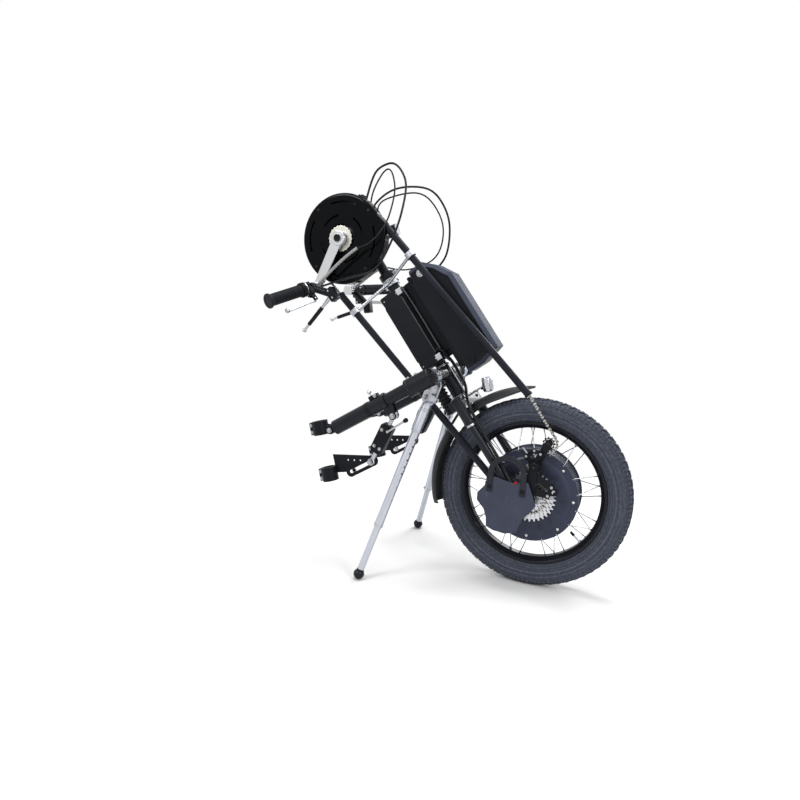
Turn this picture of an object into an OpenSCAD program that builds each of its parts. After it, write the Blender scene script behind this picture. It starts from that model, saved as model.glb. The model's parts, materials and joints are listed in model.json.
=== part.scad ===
// Clip-on power assist for a manual wheelchair: a hub-motor front wheel in a steered fork,
// hand cranks with a chain drive, a battery, docking arms and a two-legged parking stand.
// X points forward, Y to the rider's left, Z up. The tyre and both feet stand on Z = 0, and the
// origin is on the floor under the middle of the part.

/* [Wheel] */
// Distance of the wheel axle ahead of the part's middle
axle_ahead = 234.76; // [200:0.01:270]
// Outside diameter of the tyre
tyre_d = 530; // [480:1:560]
// Width of the tyre's section
tyre_w = 66; // [50:1:72]
// Thickness of the tyre's casing
tyre_wall = 5; // [3:0.5:8]
// Outside diameter of the rim's flanges
rim_d = 402; // [390:1:412]
// Width over the rim's flanges
rim_w = 44; // [36:1:50]
// Radial depth of the rim
rim_depth = 18; // [14:1:24]
// Number of spokes
spoke_count = 36; // [24:4:36]
// Diameter of a spoke
spoke_d = 2.6; // [2:0.1:3.2]

/* [Hub motor] */
// Outside diameter of the motor drum
motor_d = 246; // [220:1:256]
// Width of the motor drum
motor_w = 74; // [64:1:76]
// Wall of the motor drum
motor_wall = 7; // [5:0.5:10]
// Diameter of the wheel axle
axle_d = 14; // [12:0.5:16]
// Diameter of the freehub that carries the sprockets
freehub_d = 32; // [30:0.5:36]
// Pitch radius of the sprocket that the chain runs on
sprocket_r = 44.5; // [40:0.5:48]
// Step from one sprocket's radius to the next
sprocket_step = 8; // [6:0.5:8.5]
// Distance between sprockets
sprocket_gap = 5; // [4.6:0.1:5.2]
// Diameter of the brake disc
disc_d = 160; // [140:1:180]

/* [Steering column] */
// Lean of the steering axis from the vertical
column_tilt = 37.4; // [30:0.1:42]
// Distance of the axle ahead of the steering axis
rake = 35; // [25:1:45]
// Height of the head tube's lower end along the column
head_from = 337; // [325:1:345]
// Length of the head tube
head_len = 94; // [85:1:100]
// Outside diameter of the head tube
head_d = 40; // [38:1:46]
// Diameter of the steerer
steerer_d = 28.6; // [25.4:0.1:30]
// Distance from the wheel's middle to each fork blade
fork_y = 84; // [82:1:90]
// Diameter of a fork blade
blade_d = 24; // [20:1:26]
// Outside diameter of the mast
mast_d = 36; // [34:1:40]
// Length of the mast above the head tube
mast_len = 316; // [300:1:330]

/* [Hand drive] */
// Height of the crank axle along the column
crank_s = 891; // [870:1:910]
// Distance of the crank axle behind the column
crank_back = 31; // [25:1:40]
// Length of the crank arms
crank_len = 155; // [140:1:170]
// Lean of the crank arms behind straight down
crank_angle = 24; // [0:1:40]
// Outside radius of the chain case
case_r = 128; // [120:1:134]
// Room between the chainring's pitch circle and the outside of its case
case_room = 11; // [10:0.5:16]
// Distance from the middle to the crank arms' inner faces
arm_in = 91; // [90:1:96]
// Thickness of a crank arm
arm_t = 15; // [12:1:16]
// Diameter of the hand grips
grip_d = 34; // [30:1:36]
// Length of the hand grips
grip_len = 112; // [100:1:120]
// Angle of each hand grip off its spindle
grip_bend = 28; // [20:1:40]

/* [Battery and controller] */
// Length of the battery along the mast
battery_len = 335; // [300:1:345]
// Depth of the battery, front to back
battery_depth = 104; // [90:1:110]
// Width of the battery
battery_w = 84; // [70:1:88]
// Length of the mast that the controller box leaves free
mast_free = 70; // [66:1:90]
// Depth of the controller box, front to back
controller_depth = 62; // [50:1:66]
// Thickness of the controller box
controller_t = 38; // [30:1:40]

/* [Docking frame] */
// Slope of the docking arms
dock_slope = 32.3; // [28:0.1:36]
// Distance from the middle to each docking arm
arm_y = 165; // [160:1:175]
// Diameter of the inner docking tubes
arm_d = 36; // [34:1:38]
// Outside diameter of the docking sleeves
sleeve_d = 42; // [41:0.5:46]
// Length of a docking sleeve
sleeve_len = 182; // [170:1:186]
// Diameter of the wheelchair tube that the clamps take
chair_tube_d = 30; // [25:0.5:32]
// Length of a docking strut, eye to eye
strut_len = 151; // [146:1:156]
// Lean of the struts from the vertical
strut_lean = 23.3; // [20:0.1:26]

/* [Parking stand] */
// Distance of the feet behind the wheel axle
foot_back = 416; // [400:1:430]
// Distance from the middle to each foot
foot_y = 226; // [215:1:235]
// Radius of a ball foot
foot_r = 15; // [13:0.5:18]
// Outside diameter of a stand leg
leg_d = 24; // [23:0.5:26]
// Diameter of a leg's lower tube
leg_tube_d = 19; // [17:0.5:20]

/* [Hidden] */
$fn = 64;
overrun = 1;
run_gap = 0.05;
air_gap = 0.3;
seat_gap = 0.1;

// The parts are laid out from the wheel axle and moved ahead as they are drawn
module ahead() translate([axle_ahead, 0, 0]) children();

// Frames: the column frame has X ahead of the steering axis and Z up along it
axle_z = tyre_d / 2;
col_o = [-rake * cos(column_tilt), 0, axle_z - rake * sin(column_tilt)];
function col(t, y, s) = col_o + [t * cos(column_tilt) - s * sin(column_tilt), y,
    t * sin(column_tilt) + s * cos(column_tilt)];
module on_column(t = 0, y = 0, s = 0) translate(col(t, y, s)) rotate([0, -column_tilt, 0]) children();
dock_s = 410;
dock_o = col(0, 0, dock_s);
function dock(x, y, z) = dock_o + [x * cos(dock_slope) - z * sin(dock_slope), y,
    x * sin(dock_slope) + z * cos(dock_slope)];
module on_dock(x = 0, y = 0, z = 0) translate(dock(x, y, z)) rotate([0, -dock_slope, 0]) children();
function unit(v) = v / norm(v);
module span(p, q) {
    v = q - p;
    translate(p) rotate([0, acos(v.z / norm(v)), atan2(v.y, v.x)]) children();
}
module rod(p, q, d) span(p, q) cylinder(d = d, h = norm(q - p));
module pipe(p, q, od, id) span(p, q) difference() {
    cylinder(d = od, h = norm(q - p));
    translate([0, 0, -overrun]) cylinder(d = id, h = norm(q - p) + 2 * overrun);
}
// A cylinder along Y from y0 to y1
module across(y0, y1, d) translate([0, max(y0, y1), 0]) rotate([90, 0, 0]) cylinder(d = d, h = abs(y1 - y0));
// An outline in X and Z, made a plate from y0 to y1
module plate(y0, y1) translate([0, max(y0, y1), 0]) rotate([90, 0, 0])
    linear_extrude(abs(y1 - y0)) children();
// A flat link with round ends between two points, its waist just inside the tangents
waist_share = 0.98;
module link2d(p, q, d1, d2) {
    a = atan2(q.y - p.y, q.x - p.x);
    l = norm(q - p);
    b = asin((d1 - d2) / 2 / l);
    translate(p) circle(d = d1);
    translate(q) circle(d = d2);
    w1 = waist_share * d1 / 2;
    w2 = waist_share * d2 / 2;
    translate(p) rotate(a) polygon([[w1 * sin(b), w1 * cos(b)], [l + w2 * sin(b), w2 * cos(b)],
        [l + w2 * sin(b), -w2 * cos(b)], [w1 * sin(b), -w1 * cos(b)]]);
}
// A round cord swept along a route of points
steep_share = 0.8;
function along(r, i) = unit(r[min(i + 1, len(r) - 1)] - r[max(i - 1, 0)]);
function across_of(v) = unit(cross(v, abs(v.y) < steep_share ? [0, 1, 0] : [1, 0, 0]));
function smooth(r, n) = [for (i = [0:len(r) - 2]) for (k = [0:n - 1])
    let (t = k / n, a = r[max(i - 1, 0)], b = r[i], c = r[i + 1], d = r[min(i + 2, len(r) - 1)])
    (2 * b + (c - a) * t + (2 * a - 5 * b + 4 * c - d) * t * t
        + (3 * b - a - 3 * c + d) * t * t * t) / 2, r[len(r) - 1]];
module cord(route, d, sides = 8) {
    n = len(route);
    pts = [for (i = [0:n - 1]) let (v = along(route, i), e = across_of(v), f = cross(v, e))
        for (k = [0:sides - 1]) route[i] + d / 2 * (cos(360 * k / sides) * e + sin(360 * k / sides) * f)];
    skin = [for (i = [0:n - 2]) for (k = [0:sides - 1]) let (m = (k + 1) % sides)
        each [[i * sides + k, (i + 1) * sides + k, (i + 1) * sides + m],
            [i * sides + k, (i + 1) * sides + m, i * sides + m]]];
    ends = [for (k = [1:sides - 2]) each [[0, k, k + 1],
        [(n - 1) * sides, (n - 1) * sides + k + 1, (n - 1) * sides + k]]];
    polyhedron(pts, concat(skin, ends));
}

// Wheel, turning about Y through the axle
module at_axle() translate([0, 0, axle_z]) rotate([90, 0, 0]) children();
tyre_mid = (tyre_d - tyre_w) / 2;
rim_r = rim_d / 2;
flange_h = 7;
bead_w = 42;
module tyre() color([0.1, 0.1, 0.1]) ahead() at_axle() rotate_extrude($fn = 96) difference() {
    union() {
        translate([tyre_mid, 0]) circle(d = tyre_w);
        translate([rim_r + seat_gap, -bead_w / 2]) square([tyre_mid - rim_r, bead_w]);
    }
    translate([tyre_mid, 0]) circle(d = tyre_w - 2 * tyre_wall);
    translate([0, -bead_w / 2 + tyre_wall]) square([tyre_mid, bead_w - 2 * tyre_wall]);
}
rim_in = rim_r - rim_depth;
rim_crown_w = 20;
module rim() color([0.12, 0.12, 0.12]) ahead() at_axle() rotate_extrude($fn = 96)
    polygon([[rim_in, -rim_crown_w / 2], [rim_r - flange_h, -rim_w / 2], [rim_r, -rim_w / 2],
        [rim_r, rim_w / 2], [rim_r - flange_h, rim_w / 2], [rim_in, rim_crown_w / 2]]);
motor_r = motor_d / 2;
flange_h_out = 6;
flange_r = motor_r + flange_h_out;
flange_t = 5;
spoke_y = motor_w / 2 - flange_t / 2;
spoke_turn = 6;
module spokes() color("silver") ahead() for (i = [0:spoke_count - 1]) {
    side = i % 2 == 0 ? 1 : -1;
    a = 360 * i / spoke_count;
    b = a + (floor(i / 2) % 2 == 0 ? spoke_turn : -spoke_turn);
    r0 = flange_r + air_gap;
    r1 = rim_in - air_gap;
    rod([r0 * cos(a), side * spoke_y, axle_z + r0 * sin(a)],
        [r1 * cos(b), side * rim_crown_w / 4, axle_z + r1 * sin(b)], spoke_d);
}
cover_step = 16;
cover_r = motor_r - cover_step;
cover_h = 4;
cassette_off = 5;
cassette_y = motor_w / 2 + cover_h + cassette_off;
sprocket_count = 7;
chain_row = 3;
chain_y = cassette_y + chain_row * sprocket_gap;
freehub_lip = 2;
freehub_end = cassette_y + (sprocket_count - 1) * sprocket_gap + freehub_lip;
disc_off = 10;
disc_y = motor_w / 2 + cover_h + disc_off;
disc_t = 2;
disc_seat_d = 44;
drum_in = motor_r - motor_wall;
stator_w = motor_w - 3 * motor_wall;
rib_count = 5;
rib_h = 2.5;
rib_w = 5;
module hub_motor() color([0.13, 0.13, 0.14]) ahead() at_axle() rotate_extrude($fn = 96) difference() {
    union() {
        translate([0, -motor_w / 2]) square([motor_r, motor_w]);
        for (k = [-1, 1]) translate([0, k * spoke_y - flange_t / 2]) square([flange_r, flange_t]);
        for (k = [1:rib_count]) translate([0, -motor_w / 2 + k * motor_w / (rib_count + 1) - rib_w / 2])
            square([motor_r + rib_h, rib_w]);
        translate([0, -motor_w / 2 - cover_h]) square([cover_r, motor_w + 2 * cover_h]);
        translate([0, motor_w / 2]) square([freehub_d / 2, freehub_end - motor_w / 2]);
        translate([0, -disc_y]) square([disc_seat_d / 2, disc_y]);
    }
    translate([0, -overrun - disc_y - cover_h]) square([axle_d / 2 + run_gap, 2 * freehub_end + overrun]);
    translate([0, -motor_w / 2 + motor_wall]) square([drum_in, motor_w - 2 * motor_wall]);
}
disc_bore_d = 34;
module brake_disc() color("silver") ahead() translate([0, 0, axle_z]) difference() {
    across(disc_y, disc_y + disc_t, disc_d);
    across(disc_y - overrun, disc_y + disc_t + overrun, disc_bore_d);
    for (a = [0:30:330]) rotate([0, a, 0]) translate([disc_d / 2 - disc_bore_d / 2, 0, 0])
        across(disc_y - overrun, disc_y + disc_t + overrun, disc_bore_d / 3);
}
sprocket_t = 1.8;
chain_half_h = 4.2;
sprocket_wall = 4;
sprocket_hub_d = freehub_d + 2 * sprocket_wall;
module cassette() color("silver") ahead() translate([0, 0, axle_z]) difference() {
    union() {
        across(-cassette_y + sprocket_t, -freehub_end, sprocket_hub_d);
        for (k = [0:sprocket_count - 1]) let (y = cassette_y + k * sprocket_gap)
            across(-y - sprocket_t / 2, -y + sprocket_t / 2,
                2 * (sprocket_r + (chain_row - k) * sprocket_step - chain_half_h - air_gap));
    }
    across(0, -freehub_end - overrun, freehub_d + 2 * run_gap);
}
nut_d = 26;
nut_t = 9;
drop_t = 8;
axle_proud = 3;
axle_end = fork_y + drop_t / 2 + nut_t + axle_proud;
stator_gap = 8;
stator_d = 2 * (drum_in - stator_gap);
module wheel_axle() color("silver") ahead() translate([0, 0, axle_z]) {
    across(-axle_end, axle_end, axle_d);
    across(-stator_w / 2, stator_w / 2, stator_d);
    for (k = [-1, 1]) translate([0, k * (fork_y + drop_t / 2 + nut_t / 2), 0]) rotate([90, 0, 0])
        cylinder(d = nut_d, h = nut_t, center = true, $fn = 6);
}

// Fork, mast and what they carry, in the column frame
crown_h = 28;
crown_drop = 37;
crown_s = head_from - crown_drop;
crown_t = 42;
blade_t = 11;
blade_end = 72;
sleeve_from = 250;
blade_wall = 3;
blade_top_d = blade_d + 2 * blade_wall;
steerer_rise = 40;
steerer_top = head_from + head_len + steerer_rise;
drop_w = 34;
module dropout(k) plate(k * fork_y - drop_t / 2, k * fork_y + drop_t / 2) difference() {
    p = col(blade_t, 0, blade_end + drop_w / 2);
    link2d([p.x, p.z], [0, axle_z], drop_w, drop_w + nut_d / 2);
    translate([0, axle_z]) circle(d = axle_d + 2 * run_gap);
}
module fork() color([0.1, 0.1, 0.11]) ahead() {
    on_column() {
        translate([0, 0, crown_s]) cylinder(d = steerer_d, h = steerer_top - crown_s);
        translate([blade_t - crown_t / 2 - steerer_d / 4, -fork_y, crown_s])
            cube([crown_t, 2 * fork_y, crown_h]);
        for (k = [-1, 1]) translate([blade_t, k * fork_y, 0]) {
            translate([0, 0, blade_end]) cylinder(d = blade_d, h = crown_s - blade_end);
            translate([0, 0, sleeve_from]) cylinder(d = blade_top_d, h = crown_s + crown_h - sleeve_from);
        }
    }
    for (k = [-1, 1]) dropout(k);
}
cup_d = 46;
cup_h = 6;
module headset_cups() color("silver") ahead() on_column() for (s = [head_from - cup_h, head_from + head_len])
    translate([0, 0, s]) difference() {
        cylinder(d = cup_d, h = cup_h);
        translate([0, 0, -overrun]) cylinder(d = steerer_d + 2 * run_gap, h = cup_h + 2 * overrun);
    }
mast_from = head_from + head_len + cup_h + air_gap;
mast_top = mast_from + mast_len;
collar_h = 22;
collar_wall = 5;
collar_d = mast_d + 2 * collar_wall;
module mast_tube() color([0.1, 0.1, 0.11]) ahead() on_column() translate([0, 0, mast_from]) difference() {
    union() {
        cylinder(d = mast_d, h = mast_len);
        translate([0, 0, mast_len - collar_h]) cylinder(d = collar_d, h = collar_h);
    }
    translate([0, 0, -overrun]) cylinder(d = steerer_d + 2 * seat_gap, h = mast_len + 2 * overrun);
}
crank_o = col(-crank_back, 0, crank_s);
shell_d = 46;
shell_half = 34;
spindle_d = 20;
upper_in = 110;
upper_from = mast_top - upper_in;
case_back_y = 45;
case_back_t = 3;
stub_d = 34;
stub_len = 106;
stub_pitch = 21;
stub_from = col(0, 0, crank_s - shell_d / 2);
stub_end = stub_from + stub_len * [cos(stub_pitch), 0, sin(stub_pitch)];
module mast_upper() color([0.1, 0.1, 0.11]) ahead() difference() {
    union() {
        on_column() translate([0, 0, upper_from]) cylinder(d = steerer_d, h = crank_s - upper_from);
        translate(crank_o) across(-case_back_y, shell_half, shell_d);
        rod(col(0, 0, crank_s - shell_d / 2), crank_o, shell_d / 2);
        rod(stub_from, stub_end, stub_d);
        translate(crank_o) across(-case_back_y, -case_back_y + case_back_t, 2 * (case_r - case_t - seat_gap));
    }
    translate(crank_o) across(-case_back_y - overrun, shell_half + overrun, spindle_d + 2 * run_gap);
}

// Chain drive, worked out in the plane of the chain
ring_r = case_r - case_room;
ring_c = [crank_o.x, crank_o.z];
hub_c = [0, axle_z];
jockey_r = 22;
lower_off = [12, 94];
jockey_l = hub_c + lower_off;
upper_off = [28, 62];
jockey_u = jockey_l + upper_off;
guide_r = 60;
guide_off = [-65, 234];
guide = hub_c + guide_off;
function nl(a) = [-sin(a), cos(a)];
function run_dir(c1, r1, c2, r2) = atan2(c2.y - c1.y, c2.x - c1.x) - asin((r1 - r2) / norm(c2 - c1));
loop_c = [ring_c, guide, jockey_u, jockey_l, hub_c];
loop_r = [ring_r, guide_r, jockey_r, -jockey_r, sprocket_r];
loop_n = len(loop_c);
loop_dir = [for (i = [0:loop_n - 1]) let (j = (i + 1) % loop_n)
    run_dir(loop_c[i], loop_r[i], loop_c[j], loop_r[j])];
function run_a(i) = loop_c[i] + loop_r[i] * nl(loop_dir[i]);
function run_b(i) = let (j = (i + 1) % loop_n) loop_c[j] + loop_r[j] * nl(loop_dir[i]);
chain_w = 6.8;
quarter_turn = 90;
function in_plane(p) = [p.x, -chain_y, p.y];
module chain_run(i) {
    v = run_b(i) - run_a(i);
    translate(in_plane(run_a(i))) rotate([0, -atan2(v.y, v.x), 0])
        translate([seat_gap, -chain_w / 2, -chain_half_h])
            cube([norm(v) - 2 * seat_gap, chain_w, 2 * chain_half_h]);
}
module chain_arc(i) {
    p = (i + loop_n - 1) % loop_n;
    turn = (loop_r[i] > 0 ? 1 : -1) * (loop_dir[p] - loop_dir[i]);
    sweep = (turn + 720) % 360;
    start = loop_r[i] > 0 ? loop_dir[i] + quarter_turn : loop_dir[p] - quarter_turn;
    translate(in_plane(loop_c[i])) rotate([90, 0, 0]) rotate(start)
        rotate_extrude(angle = sweep) translate([abs(loop_r[i]) - chain_half_h, -chain_w / 2])
            square([2 * chain_half_h, chain_w]);
}
module chain() color([0.6, 0.6, 0.6]) ahead() for (i = [0:loop_n - 1]) {
    chain_run(i);
    chain_arc(i);
}
tube_d = 20;
tube_id = 15;
front_lead = 60;
rear_lead = 104;
function on_run(i, d) = let (v = unit(run_b(i) - run_a(i))) in_plane(run_a(i) + d * v);
front_from = on_run(0, front_lead);
front_to = in_plane(run_b(0));
rear_len = norm(run_b(4) - run_a(4));
rear_from = on_run(4, rear_lead);
rear_to = on_run(4, rear_len - rear_lead);
module chain_tube_front() color([0.12, 0.13, 0.15]) ahead() pipe(front_from, front_to, tube_d, tube_id);
module chain_tube_rear() color([0.12, 0.13, 0.15]) ahead() pipe(rear_from, rear_to, tube_d, tube_id);
case_face_y = 80;
case_t = 3;
case_eye_r = 42;
slot_w = 5;
slot_turns = [10, 100, 190, 280];
slot_radius_shares = [0.5, 0.79];
slot_sweep = 48;
nose_shares = [[0.26, 0.965], [1.05, 0.37], [1.02, -0.23], [0.77, -0.6]];
module case_outline(inset = 0) {
    circle(r = case_r - inset);
    polygon(concat([[0, 0]], [for (p = nose_shares) p * (case_r - inset)]));
}
module chain_guard() color([0.06, 0.06, 0.06]) ahead() difference() {
    translate([crank_o.x, 0, crank_o.z]) difference() {
        union() {
            plate(-case_face_y, -case_face_y + case_t) case_outline();
            plate(-case_face_y + case_t, -case_back_y + case_back_t) difference() {
                case_outline();
                case_outline(case_t);
            }
        }
        across(-case_face_y - overrun, -case_back_y, 2 * case_eye_r);
        for (s = slot_radius_shares) for (a = slot_turns) translate([0, -case_face_y + case_t + overrun, 0])
            rotate([90, 0, 0]) rotate(a) rotate_extrude(angle = slot_sweep)
                translate([s * case_r, 0]) square([slot_w, case_t + 2 * overrun]);
    }
    rod(on_run(0, 0), front_to, tube_d + 2 * seat_gap);
    rod(on_run(4, rear_len), rear_to, tube_d + 2 * seat_gap);
}
clamp_drop = 34;
clamp_s = mast_top - clamp_drop;
clamp_h = 16;
clamp_wall = 6;
clamp_d = mast_d + 2 * clamp_wall;
link_d = 9;
ring_wall = 4;
tube_ring_d = tube_d + 2 * ring_wall;
function near_on(p, q, s) = let (u = unit(q - p), o = col(0, 0, s)) p + ((o - p) * u) * u;
front_hold = near_on(front_from, front_to, clamp_s);
rear_hold = near_on(rear_from, rear_to, clamp_s);
module tube_ring(p, q, at) {
    u = unit(q - p);
    pipe(at - u * clamp_h / 2, at + u * clamp_h / 2, tube_ring_d, tube_d + 2 * seat_gap);
}
module tube_bracket() color([0.8, 0.8, 0.82]) ahead() {
    on_column(0, 0, clamp_s - clamp_h / 2) difference() {
        cylinder(d = clamp_d, h = clamp_h);
        translate([0, 0, -overrun]) cylinder(d = mast_d + 2 * seat_gap, h = clamp_h + 2 * overrun);
    }
    for (h = [[front_from, front_to, front_hold], [rear_from, rear_to, rear_hold]]) {
        m = col(0, -mast_d / 2 - link_d / 2 - seat_gap, clamp_s);
        u = unit(h[2] - m);
        rod(m, h[2] - u * (tube_d / 2 + seat_gap + link_d / 4), link_d);
        tube_ring(h[0], h[1], h[2]);
    }
}

// Derailleur, set above the axle
cage_pin_d = 5;
cage_t = 2;
cage_room = 1;
cage_gap = chain_w / 2 + cage_room;
cage_link_d = 22;
pivot_d = 9;
body_d = 24;
body_y0 = chain_y + cage_gap + cage_t + air_gap;
body_y1 = fork_y + drop_t / 2 + air_gap;
hanger_t = 5;
module derailleur_body() color([0.2, 0.22, 0.26]) ahead() difference() {
    union() {
        translate([jockey_l.x, 0, jockey_l.y]) across(-body_y0, -body_y1 - hanger_t, body_d);
        plate(-body_y1, -body_y1 - hanger_t) link2d(hub_c, jockey_l, nut_d + 2 * hanger_t, body_d);
    }
    translate([0, 0, axle_z]) across(-body_y1 + overrun, -axle_end, nut_d + 2 * air_gap);
    translate([jockey_l.x, 0, jockey_l.y])
        across(-body_y0 + overrun, -axle_end, pivot_d + 2 * run_gap);
}
module derailleur_cage() color([0.12, 0.12, 0.13]) ahead() {
    for (k = [-1, 1]) plate(-chain_y + k * cage_gap, -chain_y + k * (cage_gap + cage_t))
        link2d(jockey_l, jockey_u, cage_link_d, cage_link_d);
    for (p = [jockey_l, jockey_u]) translate([p.x, 0, p.y])
        across(-chain_y - cage_gap, -chain_y + cage_gap, cage_pin_d);
    translate([jockey_l.x, 0, jockey_l.y]) across(-chain_y - cage_gap, -body_y1 - hanger_t, pivot_d);
}
jockey_t = 3;
module jockey(p) color([0.15, 0.15, 0.15]) ahead() translate([p.x, 0, p.y]) difference() {
    across(-chain_y - jockey_t / 2, -chain_y + jockey_t / 2, 2 * (jockey_r - chain_half_h - air_gap));
    across(-chain_y - jockey_t, -chain_y + jockey_t, cage_pin_d + 2 * run_gap);
    for (a = [0:72:288]) rotate([0, a, 0]) translate([jockey_r / 2, 0, 0])
        across(-chain_y - jockey_t, -chain_y + jockey_t, cage_pin_d);
}
module jockey_upper() jockey(jockey_u);
module jockey_lower() jockey(jockey_l);
pad_in = 8;
pad_out = 14;
caliper_l = 46;
caliper_h = 30;
caliper_turn = 143;
module brake_caliper() color([0.15, 0.15, 0.16]) ahead() translate([0, 0, axle_z]) difference() {
    rotate([0, -caliper_turn, 0]) union() {
        translate([disc_d / 2 - caliper_h / 2, disc_y - pad_in, -caliper_l / 2])
            cube([caliper_h, pad_in + disc_t + pad_out, caliper_l]);
        translate([disc_d / 2, disc_y, -caliper_l / 4])
            cube([caliper_h / 2, fork_y - blade_d / 2 - disc_y - seat_gap, caliper_l / 2]);
    }
    across(disc_y - 2 * air_gap, disc_y + disc_t + 2 * air_gap, disc_d + caliper_h / 2);
}

// Fenders: two arched blades round the tyre
fender_room = 20;
fender_r = axle_z + fender_room;
fender_t = 3;
fender_w = 70;
fender_dome = 9;
front_turns = [94, 135];
rear_turns = [150, 196];
stay_turn = 4;
stay_d = 8;
module fender(turns) translate([0, 0, axle_z]) rotate([90, 0, 0]) rotate(turns[0])
    rotate_extrude(angle = turns[1] - turns[0]) polygon([[fender_r, -fender_w / 2],
        [fender_r + fender_dome, -fender_w / 3], [fender_r + fender_dome, fender_w / 3],
        [fender_r, fender_w / 2], [fender_r + fender_t, fender_w / 2],
        [fender_r + fender_dome + fender_t, fender_w / 3], [fender_r + fender_dome + fender_t, -fender_w / 3],
        [fender_r + fender_t, -fender_w / 2]]);
function on_tyre(r, a) = [r * cos(a), 0, axle_z + r * sin(a)];
top_r = fender_r + fender_dome + fender_t / 2;
module front_fender() color([0.25, 0.25, 0.25]) ahead() difference() {
    union() {
        fender(front_turns);
        rod(on_tyre(top_r, front_turns[1] - stay_turn), col(blade_t, 0, crown_s + crown_h / 2), stay_d);
    }
    crown_block(seat_gap);
}
module rear_fender() color([0.25, 0.25, 0.25]) ahead() difference() {
    union() {
        fender(rear_turns);
        rod(on_tyre(top_r, rear_turns[0] + stay_turn), col(0, 0, crown_s + crown_h / 3), stay_d);
    }
    crown_block(seat_gap);
}
// The fork crown's block, with room around it
module crown_block(room) on_column()
    translate([blade_t - crown_t / 2 - steerer_d / 4 - room, -fork_y, crown_s - room])
        cube([crown_t + 2 * room, 2 * fork_y, crown_h + 2 * room]);
lamp_d = 50;
lamp_len = 34;
lamp_ahead = 86;
lamp_c = col(lamp_ahead, 0, crown_s + lamp_ahead / 4);
lamp_pitch = 15;
lamp_wall = 3;
wire_d = 5;
module headlamp() color([0.8, 0.8, 0.82]) ahead() difference() {
    union() {
        translate(lamp_c) rotate([0, 90 - lamp_pitch, 0]) cylinder(d = lamp_d, h = lamp_len, center = true);
        rod(lamp_c, col(blade_t, 0, crown_s + crown_h - wire_d), wire_d);
    }
    translate(lamp_c) rotate([0, 90 - lamp_pitch, 0])
        cylinder(d = lamp_d - 2 * lamp_wall, h = lamp_len);
    crown_block(seat_gap);
}
apron_t = 3;
apron_y = axle_end + seat_gap;
apron_size = 160;
apron_shares = [[-0.54, 0.34], [-0.71, 0.16], [-0.82, 0.02], [-0.82, -0.11], [-0.69, -0.25], [-0.64, -0.39],
    [-0.625, -0.545], [-0.5, -0.595], [-0.29, -0.615], [-0.11, -0.56], [-0.025, -0.31], [0.08, -0.19],
    [0.175, -0.05], [0.12, 0.09], [0.02, 0.325], [-0.19, 0.275], [-0.37, 0.3]];
strap_w = 15;
strap_half = 52;
strap_drop = 12;
strap_off = [-54, 65];
strap_top = hub_c + strap_off;
module axle_apron() color([0.28, 0.28, 0.3]) ahead() {
    plate(-apron_y, -apron_y - apron_t) polygon([for (p = apron_shares) hub_c + p * apron_size]);
    plate(-apron_y - apron_t - seat_gap, -apron_y - 2 * apron_t) difference() {
        union() {
            translate(strap_top) circle(r = strap_half);
            translate([strap_top.x - strap_half, hub_c.y + strap_drop])
                square([2 * strap_half, strap_top.y - hub_c.y - strap_drop]);
        }
        translate(strap_top) circle(r = strap_half - strap_w);
        translate([strap_top.x - strap_half + strap_w, hub_c.y])
            square([2 * (strap_half - strap_w), strap_top.y - hub_c.y]);
    }
}

// Battery on its rail, controller beside the mast
rail_t = 10;
rail_w = 44;
battery_t = 72;
battery_s = 374;
rail_up = 22;
rail_from = battery_s + rail_up;
rail_len = 280;
post_d = 22;
post_shares = [0.22, 0.86];
module battery_rail() color([0.1, 0.1, 0.1]) ahead() on_column() difference() {
    union() {
        translate([battery_t - rail_t - seat_gap, -rail_w / 2, rail_from]) cube([rail_t, rail_w, rail_len]);
        for (p = post_shares) translate([0, 0, rail_from + p * rail_len]) rotate([0, 90, 0])
            cylinder(d = post_d, h = battery_t - rail_t);
    }
    translate([0, 0, mast_from - overrun]) cylinder(d = mast_d + 2 * seat_gap, h = mast_len);
}
bevel_shares = [0.45, 0.74, 0.92];
bevel_drop_shares = [0, 0.09, 0.19];
foot_shares = [0.45, 0.05];
pack_round = 16;
module battery() color([0.12, 0.12, 0.13]) ahead() on_column(battery_t, 0, battery_s) difference() {
    plate(-battery_w / 2, battery_w / 2)
        polygon([[0, 0], [0, battery_len], [bevel_shares[0] * battery_depth, battery_len],
            [bevel_shares[1] * battery_depth, battery_len * (1 - bevel_drop_shares[1])],
            [bevel_shares[2] * battery_depth, battery_len * (1 - bevel_drop_shares[2])],
            [battery_depth, battery_len * (1 - 2 * bevel_drop_shares[1] - foot_shares[1])],
            [battery_depth, foot_shares[1] * battery_len], [foot_shares[0] * battery_depth, 0]]);
    for (k = [-1, 1]) translate([battery_depth, k * battery_w / 2, battery_len / 2]) rotate([0, 0, 45])
        cube([pack_round, pack_round, battery_len + 2 * overrun], center = true);
    translate([key_share * battery_depth, 0, battery_len - key_drop])
        across(-battery_w, -key_seat, key_d + 2 * run_gap);
}
key_share = 0.28;
key_drop = 26;
key_d = 14;
key_in = 10;
key_seat = battery_w / 2 - key_in;
key_proud = 3;
key_bow_w = 4;
module battery_key() color("silver") ahead() on_column()
    translate([battery_t + key_share * battery_depth, 0, battery_s + battery_len - key_drop]) {
        across(-battery_w / 2 - key_proud, -key_seat - air_gap, key_d);
        translate([-key_bow_w / 2, -battery_w / 2 - 2 * key_proud, -key_d / 3])
            cube([key_bow_w, 2 * key_proud, 2 * key_d / 3]);
    }
controller_up = 4.7;
controller_s = mast_from + controller_up;
controller_len = mast_len - mast_free;
controller_back = 38;
cap_len = 28;
groove = 1.5;
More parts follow.
